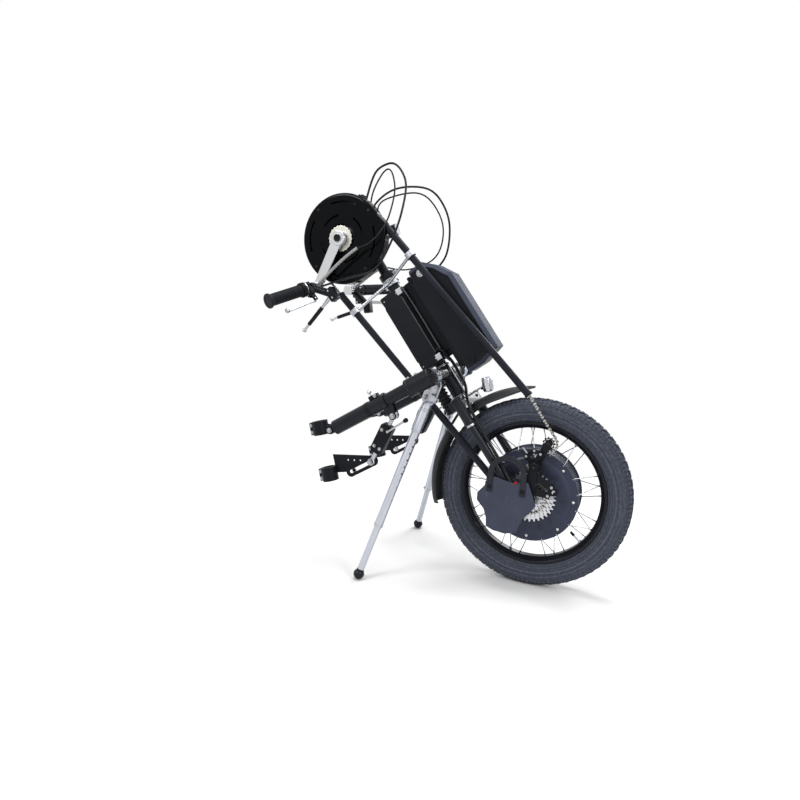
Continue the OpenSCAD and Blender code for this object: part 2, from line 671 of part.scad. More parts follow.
module controller_box() color([0.11, 0.11, 0.12]) ahead() on_column() difference() {
    translate([-controller_back, -mast_d / 2 - controller_t, controller_s])
        cube([controller_depth, controller_t, controller_len]);
    for (s = [cap_len, controller_len - cap_len]) translate([-controller_back - overrun,
        -mast_d / 2 - controller_t - overrun, controller_s + s])
        cube([controller_depth + 2 * overrun, groove + overrun, groove]);
    translate([0, 0, controller_s - overrun]) cylinder(d = mast_d + 2 * seat_gap,
        h = controller_len + 2 * overrun);
}

// Cranks, both arms pointing the same way
hand = crank_o + crank_len * [-sin(crank_angle), 0, -cos(crank_angle)];
hub_eye_d = 36;
tip_eye_d = 28;
pin_d = 12;
shoulder_d = 18;
shoulder_len = 13;
spindle_proud = 2;
spindle_end = arm_in + arm_t + spindle_proud;
ring_t = 3;
ring_rim = 16;
spider_d = 80;
ring_arms = 5;
module chainring() color("silver") ahead() translate(crank_o) difference() {
    union() {
        across(-chain_y - ring_t / 2, -chain_y + ring_t / 2, 2 * (ring_r - chain_half_h - air_gap));
        across(-arm_in, -chain_y, spider_d / 2);
        across(-chain_y - 2 * ring_t, -chain_y, spider_d);
        across(-spindle_end, spindle_end, spindle_d);
    }
    for (i = [0:ring_arms - 1]) rotate([0, 360 * i / ring_arms, 0])
        translate([(spider_d / 2 + ring_r - ring_rim) / 2, 0, 0])
            across(-chain_y - ring_t, -chain_y + ring_t, ring_r - ring_rim - spider_d / 2 - ring_t);
}
module crank_arm(k) color([0.85, 0.85, 0.86]) ahead() difference() {
    union() {
        plate(k * arm_in, k * (arm_in + arm_t))
            link2d(ring_c, [hand.x, hand.z], hub_eye_d, tip_eye_d);
        translate([hand.x, 0, hand.z]) {
            across(k * (arm_in + arm_t), k * (hand_out - overrun), pin_d);
            across(k * (arm_in + arm_t), k * (arm_in + arm_t + shoulder_len), shoulder_d);
        }
    }
    translate(crank_o) across(-2 * arm_in, 2 * arm_in, spindle_d + 2 * seat_gap);
}
module crank_arm_right() crank_arm(-1);
module crank_arm_left() crank_arm(1);

// Hand units: each turns on its crank pin; the outline is worked out for the right hand
roll_right = -40;
roll_left = -10;
hand_hub_d = 28;
hand_gap = 1;
hand_len = 28;
hand_in = arm_in + arm_t + shoulder_len + hand_gap;
hand_out = hand_in + hand_len;
hub_mid = (hand_in + hand_out) / 2;
bar_d = 22;
grip_from = 38;
end_t = 6;
end_lip = 4;
end_d = grip_d + 2 * end_lip;
lever_drop = 38;
lever_z = 24;
lever_w = 8;
lever_len = 100;
lever_d = 12;
lever_tip_d = 9;
lever_ball_d = 14;
lever_pin_d = 5;
cheek_t = 4;
box_at = [44, -58];
box_s = [24, 26, 40];
peg_d = 10;
peg_tip = [-92, -84];
module at_hand(k) translate([hand.x, 0, hand.z]) rotate([0, k < 0 ? roll_right : roll_left, 0])
    mirror([0, k < 0 ? 0 : 1, 0]) children();
module on_bar(k) at_hand(k) translate([0, -hub_mid, 0])
    rotate([0, 0, k < 0 ? -grip_bend : grip_bend]) rotate([90, 0, 0]) children();
module hand_unit(k) color([0.15, 0.15, 0.16]) ahead() difference() {
    union() {
        at_hand(k) {
            across(-hand_in, -hand_out, hand_hub_d);
            translate([box_at.x - box_s.x / 2, -hub_mid - box_s.y / 2, box_at.y - box_s.z / 2]) cube(box_s);
            rod([0, -hub_mid, 0], [box_at.x, -hub_mid, box_at.y], bar_d);
            rod([box_at.x, -hub_mid, box_at.y], [peg_tip.x, -hub_mid, peg_tip.y], peg_d);
        }
        on_bar(k) {
            cylinder(d = bar_d, h = grip_from + grip_len);
            translate([0, 0, grip_from]) cylinder(d = grip_d, h = grip_len);
            translate([0, 0, grip_from + grip_len - end_t]) cylinder(d = end_d, h = end_t);
            for (j = [-1, 1]) translate([j * (lever_w / 2 + air_gap + cheek_t / 2), 0, lever_z / 2])
                translate([-cheek_t / 2, -lever_drop - lever_d / 2, -lever_d / 2])
                    cube([cheek_t, lever_drop + lever_d / 2, lever_d]);
            translate([0, -lever_drop, lever_z / 2]) rotate([0, 90, 0])
                cylinder(d = lever_pin_d, h = lever_w + 2 * cheek_t, center = true);
        }
    }
    at_hand(k) across(-hand_in + overrun, -hand_out - overrun, pin_d + 2 * run_gap);
}
module grip_right() hand_unit(-1);
module grip_left() hand_unit(1);
module brake_lever(k) color("silver") ahead() on_bar(k) difference() {
    union() {
        translate([-lever_w / 2, -lever_drop, lever_z / 2]) rotate([90, 0, 90]) linear_extrude(lever_w)
            link2d([0, 0], [-lever_d / 2, lever_len], lever_d, lever_tip_d);
        translate([0, -lever_drop - lever_d / 2, lever_z / 2 + lever_len]) sphere(d = lever_ball_d, $fn = 32);
    }
    translate([0, -lever_drop, lever_z / 2]) rotate([0, 90, 0])
        cylinder(d = lever_pin_d + 2 * run_gap, h = 2 * lever_w, center = true);
}
module brake_lever_right() brake_lever(-1);
module brake_lever_left() brake_lever(1);
twist_from = 23;
twist_d = 42;
module shift_ring() color([0.1, 0.1, 0.1]) ahead() on_bar(-1) translate([0, 0, twist_from]) difference() {
    cylinder(d = twist_d, h = grip_from - air_gap - twist_from);
    translate([0, 0, -overrun]) cylinder(d = bar_d + 2 * run_gap, h = grip_from);
}

// Docking frame
cross_d = 34;
collar_od = 50;
collar_from = -58;
collar_to = 16;
arm_end_x = -230;
bracket_y = 120;
shelf_t = 5;
shelf_len = 66;
damper_t = -46;
damper_d = 38;
damper_up = 44;
damper_top = head_from + damper_up;
module dock_frame() color([0.1, 0.1, 0.11]) ahead() difference() {
    union() {
        on_column() translate([0, 0, head_from]) cylinder(d = head_d, h = head_len);
        on_column() translate([-shelf_len, -damper_d / 2, damper_top]) cube([shelf_len, damper_d, shelf_t]);
        on_dock() across(-arm_y, arm_y, cross_d);
        for (k = [-1, 1]) on_dock(0, k * arm_y, 0) rotate([0, 90, 0]) {
            translate([0, 0, collar_from]) cylinder(d = collar_od, h = collar_to - collar_from);
            translate([0, 0, arm_end_x]) cylinder(d = arm_d, h = collar_from - arm_end_x);
        }
    }
    on_column() translate([0, 0, head_from - overrun])
        cylinder(d = head_d - 2 * head_wall, h = head_len + 2 * overrun);
    for (k = [-1, 1]) on_dock(0, k * arm_y, 0) rotate([0, 90, 0])
        translate([0, 0, arm_end_x - overrun]) cylinder(d = arm_d - 2 * arm_wall, h = 2 * abs(arm_end_x));
}
head_wall = 3;
arm_wall = 3;
damper_ribs = 7;
damper_drop = 34;
damper_bottom = head_from - damper_drop;
damper_groove = 4;
rib_pitch = (damper_top - damper_bottom) / damper_ribs;
module steering_damper() color([0.08, 0.08, 0.08]) ahead() on_column(damper_t, 0, damper_bottom)
    rotate_extrude()
    for (i = [0:damper_ribs - 1]) {
        translate([0, i * rib_pitch]) square([damper_d / 2, rib_pitch * rib_share]);
        translate([0, i * rib_pitch]) square([damper_d / 2 - damper_groove, rib_pitch]);
    }
rib_share = 0.6;

// Docking arms: sleeve, clamp, strut, lever and slotted plate on each side
sleeve_front = -130;
sleeve_back = sleeve_front - sleeve_len;
lug_out = 13;
clevis_x = sleeve_back - lug_out;
lug_d = 24;
lug_t = 14;
bolt_d = 8;
bolt_head_d = 14;
bolt_head_t = 5;
fork_t = 6;
clevis_half = lug_t / 2 + air_gap + fork_t;
strut_at = [-132, -46];
ear_t = 4;
eye_t = 14;
eye_d = 22;
module ears(k) for (j = [-1, 1]) on_dock(0, k * arm_y + j * (eye_t / 2 + air_gap + ear_t / 2), 0)
    plate(-ear_t / 2, ear_t / 2) link2d([strut_at.x, 0], strut_at, sleeve_d - 2 * ear_t, eye_d);
module arm_sleeve(k) color([0.1, 0.1, 0.11]) ahead() difference() {
    union() {
        on_dock(sleeve_back, k * arm_y, 0) rotate([0, 90, 0]) cylinder(d = sleeve_d, h = sleeve_len);
        on_dock(0, k * arm_y, 0) plate(-lug_t / 2, lug_t / 2)
            link2d([sleeve_back + lug_d / 2, 0], [clevis_x, 0], lug_d, lug_d);
        ears(k);
        on_dock(strut_at.x, k * arm_y, strut_at.y)
            across(-eye_t / 2 - ear_t - bolt_head_t, eye_t / 2 + ear_t + bolt_head_t, bolt_d);
    }
    on_dock(sleeve_back + lug_d, k * arm_y, 0) rotate([0, 90, 0])
        cylinder(d = arm_d + 2 * run_gap, h = sleeve_len);
    on_dock(clevis_x, k * arm_y, 0) across(-lug_t, lug_t, bolt_d + 2 * run_gap);
}
module arm_sleeve_right() arm_sleeve(-1);
module arm_sleeve_left() arm_sleeve(1);
chair_lean = 15.5;
grip_wall = 8;
clamp_od = chair_tube_d + 2 * grip_wall;
clamp_len = 40;
clamp_back = 38;
clevis = dock(clevis_x, 0, 0);
module at_clevis(k) translate([clevis.x, k * arm_y, clevis.z]) children();
module frame_clamp(k) color([0.12, 0.12, 0.12]) ahead() at_clevis(k) difference() {
    union() {
        for (j = [-1, 1]) translate([0, j * (lug_t / 2 + air_gap + fork_t / 2), 0])
            plate(-fork_t / 2, fork_t / 2) link2d([0, 0], [-clamp_back, 0], lug_d, lug_d);
        translate([-clamp_back, 0, 0]) rotate([0, -chair_lean, 0])
            cylinder(d = clamp_od, h = clamp_len, center = true);
        across(-clevis_half - bolt_head_t, clevis_half + bolt_head_t, bolt_d);
        for (j = [-1, 1]) across(j * clevis_half, j * (clevis_half + bolt_head_t), bolt_head_d);
    }
    translate([-clamp_back, 0, 0]) rotate([0, -chair_lean, 0])
        cylinder(d = chair_tube_d + 2 * seat_gap, h = 2 * clamp_len, center = true);
}
module frame_clamp_right() frame_clamp(-1);
module frame_clamp_left() frame_clamp(1);
strut_top = dock(strut_at.x, 0, strut_at.y);
module on_strut(k) translate([strut_top.x, k * arm_y, strut_top.z]) rotate([0, strut_lean, 0]) children();
stem_d = 12;
body_from = 34;
body_len = 80;
body_w = 37;
body_t = 30;
low_eye_d = 20;
module strut(k) color([0.12, 0.12, 0.12]) ahead() on_strut(k) difference() {
    union() {
        across(-eye_t / 2, eye_t / 2, eye_d);
        translate([0, 0, -strut_len]) cylinder(d = stem_d, h = strut_len);
        translate([-body_w / 2, -body_t / 2, -body_from - body_len]) cube([body_w, body_t, body_len]);
        translate([0, 0, -strut_len]) across(-eye_t / 2, eye_t / 2, low_eye_d);
    }
    across(-eye_t, eye_t, bolt_d + 2 * run_gap);
    translate([0, 0, -strut_len]) across(-eye_t, eye_t, bolt_d + 2 * run_gap);
    translate(lever_pin) across(-body_t, body_t, lever_slot_d + 2 * run_gap);
}
module strut_right() strut(-1);
module strut_left() strut(1);
lever_in = 9;
lever_pin = [body_w / 2 - lever_in, 0, -body_from - lever_in];
lever_slot_d = 8;
knob_d = 13;
knob_at = [32, 56];
lever_bar_d = 6;
module strut_lever(k) color([0.1, 0.1, 0.1]) ahead() on_strut(k) translate(lever_pin) {
    y = k * (body_t / 2 + air_gap + lever_bar_d / 2);
    across(-k * body_t / 2, k * (body_t / 2 + air_gap + lever_bar_d), lever_slot_d);
    rod([0, y, 0], [knob_at.x, y, knob_at.y], lever_bar_d);
    translate([knob_at.x, y, knob_at.y]) sphere(d = knob_d, $fn = 32);
}
module strut_lever_right() strut_lever(-1);
module strut_lever_left() strut_lever(1);
low = strut_top + strut_len * [-sin(strut_lean), 0, -cos(strut_lean)];
plate_t = 5;
plate_y = arm_y - eye_t / 2 - air_gap - plate_t;
tube_run = 135;
clamp_c = [clevis.x - clamp_back, clevis.z];
tube_at = clamp_c + tube_run * [sin(chair_lean), -cos(chair_lean)] - [low.x, low.z];
slot_from = [-66, -42];
plate_d = 30;
pivot_slot_d = 10;
hole_d = 6;
hole_shares = [0.3, 0.45, 0.6];
// Both clamps of a side hold one tube of the chair
module on_tube(k) translate([tube_at.x, k * arm_y, tube_at.y]) rotate([0, -chair_lean, 0]) children();
module chair_plate(k) color([0.1, 0.1, 0.11]) ahead() translate([low.x, 0, low.z]) difference() {
    union() {
        difference() {
            plate(k * plate_y, k * (plate_y + plate_t)) {
                link2d([0, 0], slot_from, plate_d, plate_d);
                link2d([0, 0], tube_at + [0, clamp_len], plate_d, plate_d);
                polygon([[0, 0], tube_at + [0, clamp_len], tube_at, slot_from]);
            }
            on_tube(k) cylinder(d = clamp_od - grip_wall, h = 4 * clamp_len, center = true);
        }
        across(k * (plate_y - bolt_head_t), k * (arm_y + eye_t / 2 + bolt_head_t), bolt_d);
        across(k * (arm_y + eye_t / 2 + air_gap), k * (arm_y + eye_t / 2 + bolt_head_t), bolt_head_d);
        on_tube(k) cylinder(d = clamp_od, h = clamp_len, center = true);
    }
    plate(k * (plate_y - overrun), k * (plate_y + plate_t + overrun)) difference() {
        link2d([0, 0], slot_from, pivot_slot_d, pivot_slot_d);
        circle(d = plate_d - pivot_slot_d);
    }
    for (s = hole_shares) translate([s * tube_at.x, 0, s * (tube_at.y + clamp_len)])
        across(k * (plate_y - overrun), k * (plate_y + plate_t + overrun), hole_d);
    on_tube(k) cylinder(d = chair_tube_d + 2 * seat_gap, h = 2 * clamp_len, center = true);
}
module chair_plate_right() chair_plate(-1);
module chair_plate_left() chair_plate(1);

// Parking stand: each leg folds back about a slanted pin and telescopes
pivot_x = -34;
pivot_z = -46;
function pivot(k) = dock(pivot_x, k * bracket_y, pivot_z);
function foot(k) = [-foot_back, k * foot_y, foot_r];
function leg_dir(k) = unit(foot(k) - pivot(k));
fold_lean = 30;
fold_dir = [-sin(fold_lean), 0, -cos(fold_lean)];
function fold_axis(k) = unit(cross(leg_dir(k), fold_dir));
// The leg frame: Z along the fold pin, X up the leg
module on_pivot(k) {
    z = fold_axis(k);
    x = -leg_dir(k);
    y = cross(z, x);
    p = pivot(k);
    multmatrix([[x.x, y.x, z.x, p.x], [x.y, y.y, z.y, p.y], [x.z, y.z, z.z, p.z], [0, 0, 0, 1]]) children();
}
leg_len = norm(foot(1) - pivot(1));
leg_eye_d = 30;
leg_eye_t = 18;
hinge_pin_d = 10;
bracket_t = 5;
web_t = 12;
cheek_share = 0.68;
leg_wall = 2;
neck_gap = 2;
neck = leg_eye_d / 2 + neck_gap;
sleeve_leg_d = leg_d + 2 * leg_wall;
leg_sleeve_to = 98;
leg_main_to = 382;
leg_hole_d = 5;
leg_hole_pitch = 20;
leg_hole_count = 8;
leg_hole_from = 120;
ring_w = 30;
stand_wall = 6;
ring_od = cross_d + 2 * stand_wall;
module stand_bracket(k) color([0.75, 0.76, 0.78]) ahead() difference() {
    union() {
        for (j = [-1, 1]) on_pivot(k) translate([0, 0, j * (leg_eye_t / 2 + air_gap + bracket_t / 2)])
            linear_extrude(bracket_t, center = true)
                link2d([0, 0], cheek_share * reach(k), leg_eye_d, leg_eye_d);
        on_pivot(k) cylinder(d = hinge_pin_d, h = leg_eye_t + 2 * bracket_t + bolt_head_t, center = true);
        on_pivot(k) translate([neck + web_t / 2 + neck_gap, 0, 0])
            cube([web_t, leg_eye_t, leg_eye_t + 2 * air_gap + 2 * bracket_t], center = true);
        on_dock(0, k * bracket_y, 0) across(-ring_w / 2, ring_w / 2, ring_od);
    }
    on_dock(0, k * bracket_y, 0) across(-ring_w, ring_w, cross_d + 2 * run_gap);
}
// Where the ring on the cross tube lies, seen from the fold pin
function reach(k) = let (v = dock(0, k * bracket_y, 0) - pivot(k), x = -leg_dir(k))
    [v * x, v * cross(fold_axis(k), x)];
module stand_bracket_right() stand_bracket(-1);
module stand_bracket_left() stand_bracket(1);
module stand_leg(k) color([0.8, 0.81, 0.83]) ahead() on_pivot(k) difference() {
    union() {
        cylinder(d = leg_eye_d, h = leg_eye_t, center = true);
        translate([-neck - neck_gap, -leg_eye_t / 2, -leg_eye_t / 2]) cube([neck, leg_eye_t, leg_eye_t]);
        rotate([0, -90, 0]) {
            translate([0, 0, neck]) cylinder(d = sleeve_leg_d, h = leg_sleeve_to - neck);
            translate([0, 0, neck]) cylinder(d = leg_d, h = leg_main_to - neck);
        }
    }
    cylinder(d = hinge_pin_d + 2 * run_gap, h = 2 * leg_eye_t, center = true);
    translate([-leg_main_to - overrun, 0, 0]) rotate([0, 90, 0])
        cylinder(d = leg_tube_d + 2 * run_gap, h = leg_main_to - leg_eye_d);
    for (i = [0:leg_hole_count - 1]) translate([-leg_hole_from - i * leg_hole_pitch, 0, 0])
        rotate([-90, 0, 0]) cylinder(d = leg_hole_d, h = leg_d);
}
module stand_leg_right() stand_leg(-1);
module stand_leg_left() stand_leg(1);
tube_in = 150;
tube_wall = 2;
foot_sink = 6;
module stand_tube(k) color([0.85, 0.86, 0.88]) ahead() on_pivot(k) translate([-leg_len + foot_sink, 0, 0])
    rotate([0, 90, 0]) difference() {
        cylinder(d = leg_tube_d, h = leg_len - leg_main_to + tube_in);
        translate([0, 0, tube_wall]) cylinder(d = leg_tube_d - 2 * tube_wall, h = leg_len);
    }
module stand_tube_right() stand_tube(-1);
module stand_tube_left() stand_tube(1);
module stand_foot(k) color([0.05, 0.05, 0.05]) ahead() difference() {
    translate(foot(k)) sphere(r = foot_r, $fn = 48);
    on_pivot(k) translate([-leg_len + foot_sink, 0, 0]) rotate([0, 90, 0])
        cylinder(d = leg_tube_d + 2 * seat_gap, h = foot_r * 2);
}
module stand_foot_right() stand_foot(-1);
module stand_foot_left() stand_foot(1);

// Control cables and the wire harness, as routes of points
brake_cable_d = 6;
thin_cable_d = 4.6;
noodle_d = 9;
harness_d = 9;
right_brake_route = [[-534, -12, 954], [-542, -26, 976], [-552, -34, 1005], [-518, -46, 1113],
    [-481, -56, 1137], [-446, -66, 1139], [-413, -76, 1105], [-401, -84, 1064], [-414, -96, 971],
    [-451, -106, 876], [-484, -110, 842], [-560, -112, 820], [-647, -110, 792]];
right_thin_route = [[-516, -12, 961], [-524, -28, 986], [-526, -36, 1060], [-476, -46, 1133],
    [-446, -58, 1083], [-445, -72, 1027], [-456, -88, 972], [-491, -104, 921], [-526, -113, 906]];
right_noodle_route = [[-526, -113, 906], [-560, -115, 880], [-592, -115, 852], [-649, -115, 797]];
left_brake_route = [[-534, 12, 954], [-542, 26, 976], [-557, 32, 1032], [-499, 42, 1087], [-416, 54, 1097],
    [-366, 64, 1076], [-329, 80, 1008], [-332, 96, 924], [-356, 104, 880], [-410, 109, 836],
    [-490, 112, 804], [-570, 112, 793], [-647, 110, 791]];
left_thin_route = [[-516, 12, 961], [-524, 28, 986], [-540, 36, 1044], [-490, 46, 1071], [-422, 56, 1081],
    [-381, 66, 1057], [-348, 82, 997], [-355, 98, 930], [-390, 108, 888], [-470, 114, 862],
    [-540, 115, 868]];
left_noodle_route = [[-540, 115, 868], [-570, 115, 856], [-600, 115, 835], [-649, 115, 796]];
// The harness is laid in the column frame, clear of the cross tube at full lock
harness_route = [for (p = [[24.2, -38, 478], [34, -38, 478], [36, -33, 462], [36, -12, 440], [34, 0, 420],
    [33, 0, 390], [33, -4, 360], [33, -20, 342], [31, -44, 322], [32, -72, 296], [32, -84, 270],
    [32, -84, 250], [29, -84, 200], [29, -86, 130], [27, -93, 84], [24, -93, 40]]) col(p.x, p.y, p.z)];
ring_steps = 2;
module cables_right() color([0.08, 0.08, 0.08]) ahead() {
    cord(smooth(right_brake_route, ring_steps), brake_cable_d);
    cord(smooth(right_thin_route, ring_steps), thin_cable_d);
    cord(right_noodle_route, noodle_d);
}
module cables_left() color([0.08, 0.08, 0.08]) ahead() {
    cord(smooth(left_brake_route, ring_steps), brake_cable_d);
    cord(smooth(left_thin_route, ring_steps), thin_cable_d);
    cord(left_noodle_route, noodle_d);
}
module wire_harness() color([0.06, 0.06, 0.06]) ahead() cord(harness_route, harness_d);

dock_frame();
headset_cups();
steering_damper();
stand_bracket_right();
stand_bracket_left();
arm_sleeve_right();
arm_sleeve_left();
frame_clamp_right();
frame_clamp_left();
strut_right();
strut_left();
strut_lever_right();
strut_lever_left();
chair_plate_right();
chair_plate_left();
stand_leg_right();
stand_leg_left();
stand_tube_right();
stand_tube_left();
stand_foot_right();
stand_foot_left();
fork();
mast_tube();
mast_upper();
controller_box();
battery_rail();
chain_guard();
chain_tube_front();
chain_tube_rear();
tube_bracket();
chain();
wheel_axle();
axle_apron();
front_fender();
rear_fender();
headlamp();
derailleur_body();
brake_caliper();
wire_harness();
cables_right();
cables_left();
tyre();
rim();
spokes();
hub_motor();
brake_disc();
cassette();
derailleur_cage();
jockey_upper();
jockey_lower();
chainring();
crank_arm_right();
crank_arm_left();
grip_right();
grip_left();
brake_lever_right();
brake_lever_left();
shift_ring();
battery();
battery_key();
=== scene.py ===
"""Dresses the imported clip-on wheelchair drive for a plain studio picture.

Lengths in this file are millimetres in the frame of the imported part, X forward, Y to the left
and Z up. A shape turns them into metres when it becomes a piece.
"""

import json
import logging
import math
from dataclasses import dataclass
from enum import Enum
from typing import Callable, Iterable, Optional, Sequence

import bmesh
import bpy
from mathutils import Matrix, Vector


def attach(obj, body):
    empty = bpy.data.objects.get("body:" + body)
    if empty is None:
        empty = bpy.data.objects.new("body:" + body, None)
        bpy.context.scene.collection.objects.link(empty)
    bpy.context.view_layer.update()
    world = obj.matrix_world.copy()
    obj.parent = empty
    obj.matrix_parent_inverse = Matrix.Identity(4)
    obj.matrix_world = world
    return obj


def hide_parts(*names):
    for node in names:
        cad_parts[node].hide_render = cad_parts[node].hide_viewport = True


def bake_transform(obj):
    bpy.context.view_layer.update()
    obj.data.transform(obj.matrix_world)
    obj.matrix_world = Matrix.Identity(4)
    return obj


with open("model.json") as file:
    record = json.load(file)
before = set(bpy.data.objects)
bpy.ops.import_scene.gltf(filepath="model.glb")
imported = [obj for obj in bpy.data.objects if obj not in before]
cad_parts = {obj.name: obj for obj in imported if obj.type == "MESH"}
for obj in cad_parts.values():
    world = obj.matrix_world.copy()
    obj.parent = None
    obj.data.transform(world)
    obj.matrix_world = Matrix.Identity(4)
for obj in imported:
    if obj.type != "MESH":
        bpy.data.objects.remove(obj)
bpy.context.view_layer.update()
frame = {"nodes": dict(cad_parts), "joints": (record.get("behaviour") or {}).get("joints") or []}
LOG = logging.getLogger("drive")
MM = 0.001
JOINTS = {j["name"]: j for j in frame["joints"]}
Point = tuple[float, float, float]
Flat = tuple[float, float]
Outline = Sequence[Flat]


class Side(Enum):
    """The two sides, with the sign of Y there."""

    RIGHT = -1
    LEFT = 1

    @property
    def word(self) -> str:
        """The side's word in the names of nodes and bodies."""
        return self.name.lower()


def place(joint: str) -> Vector:
    """A joint's place at rest, in millimetres."""
    return Vector(JOINTS[joint]["pos_m"]) / MM


def heading(joint: str) -> Vector:
    """A joint's axis."""
    return Vector(JOINTS[joint]["axis"])


def axes(origin: Vector, x: Vector, z: Vector) -> Matrix:
    """A frame from its origin and two of its axes.

    Args:
        origin: where the frame sits.
        x: its first axis, of unit length.
        z: its third axis, of unit length and square to the first.

    Returns:
        The matrix that takes the frame's points to the part's.
    """
    made = Matrix((x, z.cross(x), z)).transposed().to_4x4()
    made.translation = origin
    return made


def turned(angle: float, axis: str) -> Matrix:
    """A turn by an angle in degrees about one axis."""
    return Matrix.Rotation(math.radians(angle), 4, axis)


def moved(*p: float) -> Matrix:
    """A shift by three lengths."""
    return Matrix.Translation(p)


PART = Matrix.Identity(4)
HUB = place("wheel_spin")
CRANK_AXLE = place("crank_spin")
AHEAD = HUB.x
FORWARD = Vector((1, 0, 0))
AXLE_LINE = Vector((0, 1, 0))
NEAR = (0, -1, 0)
FAR = (0, 1, 0)
UP_COLUMN = heading("steering")
COLUMN = axes(place("steering"), Vector((UP_COLUMN.z, 0, -UP_COLUMN.x)), UP_COLUMN)
UP_ARM = heading("arm_slide_right")
DOCK_UP = 410
DOCK = axes(COLUMN @ Vector((0, 0, DOCK_UP)), UP_ARM, Vector((-UP_ARM.z, 0, UP_ARM.x)))
WHEEL = axes(HUB, FORWARD, -AXLE_LINE)
CRANK = axes(CRANK_AXLE, FORWARD, -AXLE_LINE)
CHAIN_Y = -61.0
PITCH = 12.7
WHOLE_TURN = 360
SHARP = math.radians(33)  # an edge past this angle is bevelled
CREASE = math.radians(38)  # an edge past this angle parts the shading
LEVEL = math.radians(0.4)  # CAD faces within this angle are joined
CAD_MERGE = 0.005  # CAD points this close are one
SEAM_MERGE = 1e-4  # points this close on the seam of a spin are one


class Value:
    """A shader value that adds a Math node for each sum it enters."""

    def __init__(self, graph: "Graph", socket: bpy.types.NodeSocket) -> None:
        """Wraps one output socket of a graph's node."""
        self.graph = graph
        self.socket = socket

    def sum_with(self, operation: str, first: object, second: object) -> "Value":
        """A Math node of two values or numbers."""
        return self.graph.node("ShaderNodeMath", {"operation": operation}, {0: first, 1: second})

    def __add__(self, other: object) -> "Value":
        """self + other"""
        return self.sum_with("ADD", self, other)

    def __sub__(self, other: object) -> "Value":
        """self - other"""
        return self.sum_with("SUBTRACT", self, other)

    def __rsub__(self, other: object) -> "Value":
        """other - self"""
        return self.sum_with("SUBTRACT", other, self)

    def __mul__(self, other: object) -> "Value":
        """self * other"""
        return self.sum_with("MULTIPLY", self, other)

    def sine(self) -> "Value":
        """The sine of the value."""
        return self.graph.node("ShaderNodeMath", {"operation": "SINE"}, {0: self})

    def held(self) -> "Value":
        """The value, kept between 0 and 1."""
        return self.graph.node("ShaderNodeClamp", {}, {0: self})

    __radd__ = __add__
    __rmul__ = __mul__


class Graph:
    """The nodes of a material or of the world."""

    def __init__(self, owner: bpy.types.ID) -> None:
        """Empties the nodes of their owner.

        Args:
            owner: the material or world that they belong to.
        """
        owner.use_nodes = True
        self.owner = owner
        self.tree = owner.node_tree
        self.tree.nodes.clear()

    def node(self, kind: str, settings: dict, inputs: dict, output: int = 0) -> Value:
        """Adds a node.

        Args:
            kind: the node's type.
            settings: what is set on the node itself.
            inputs: a value or a link for each socket, by number or name.
            output: the number of the socket that is wanted.

        Returns:
            That output, as a value.
        """
        made = self.tree.nodes.new(kind)
        for key, setting in settings.items():
            setattr(made, key, setting)
        for key, given in inputs.items():
            if isinstance(given, Value):
                self.tree.links.new(given.socket, made.inputs[key])
            else:
                made.inputs[key].default_value = given
        return Value(self, made.outputs[output])

    def close(self, surface: Value, kind: str = "Material") -> None:
        """Ends the nodes with their surface."""
        end = self.tree.nodes.new(f"ShaderNodeOutput{kind}")
        self.tree.links.new(surface.socket, end.inputs[0])

    def spot(self, stretch: Point = (1, 1, 1), centre: Point = (0, 0, 0)) -> Value:
        """Object coordinates.

        Args:
            stretch: what each is multiplied by.
            centre: the point that becomes zero.

        Returns:
            The shifted and stretched coordinates.
        """
        start = self.node("ShaderNodeTexCoord", {}, {}, 3)
        shift = tuple(-c * s for c, s in zip(centre, stretch))
        return self.node("ShaderNodeMapping", {}, {0: start, 1: shift, 3: stretch})

    def noise(self, scale: float, detail: float, stretch: Point = (1, 1, 1)) -> Value:
        """Noise of that scale per metre, from 0 to 1."""
        inputs = {"Vector": self.spot(stretch), "Scale": scale, "Detail": detail}
        return self.node("ShaderNodeTexNoise", {}, inputs)

    def cells(self, scale: float) -> Value:
        """Distance to the nearest cell point, for a moulded or cast skin."""
        return self.node("ShaderNodeTexVoronoi", {}, {"Vector": self.spot(), "Scale": scale})

    def mix(self, share: Value, first: object, second: object) -> Value:
        """A colour between two colours."""
        return self.node("ShaderNodeMix", {"data_type": "RGBA"}, {0: share, 6: first, 7: second}, 2)

    def bump(self, height: Value, depth: float, strength: float) -> Value:
        """A normal from a height between 0 and 1, which stands for that depth in metres."""
        inputs = {"Strength": strength, "Distance": depth, "Height": height}
        return self.node("ShaderNodeBump", {}, inputs)


def shade(colour: Point, share: float) -> tuple[float, float, float, float]:
    """A colour with its light scaled, and with its alpha."""
    return (*(min(1.0, c * share) for c in colour), 1.0)


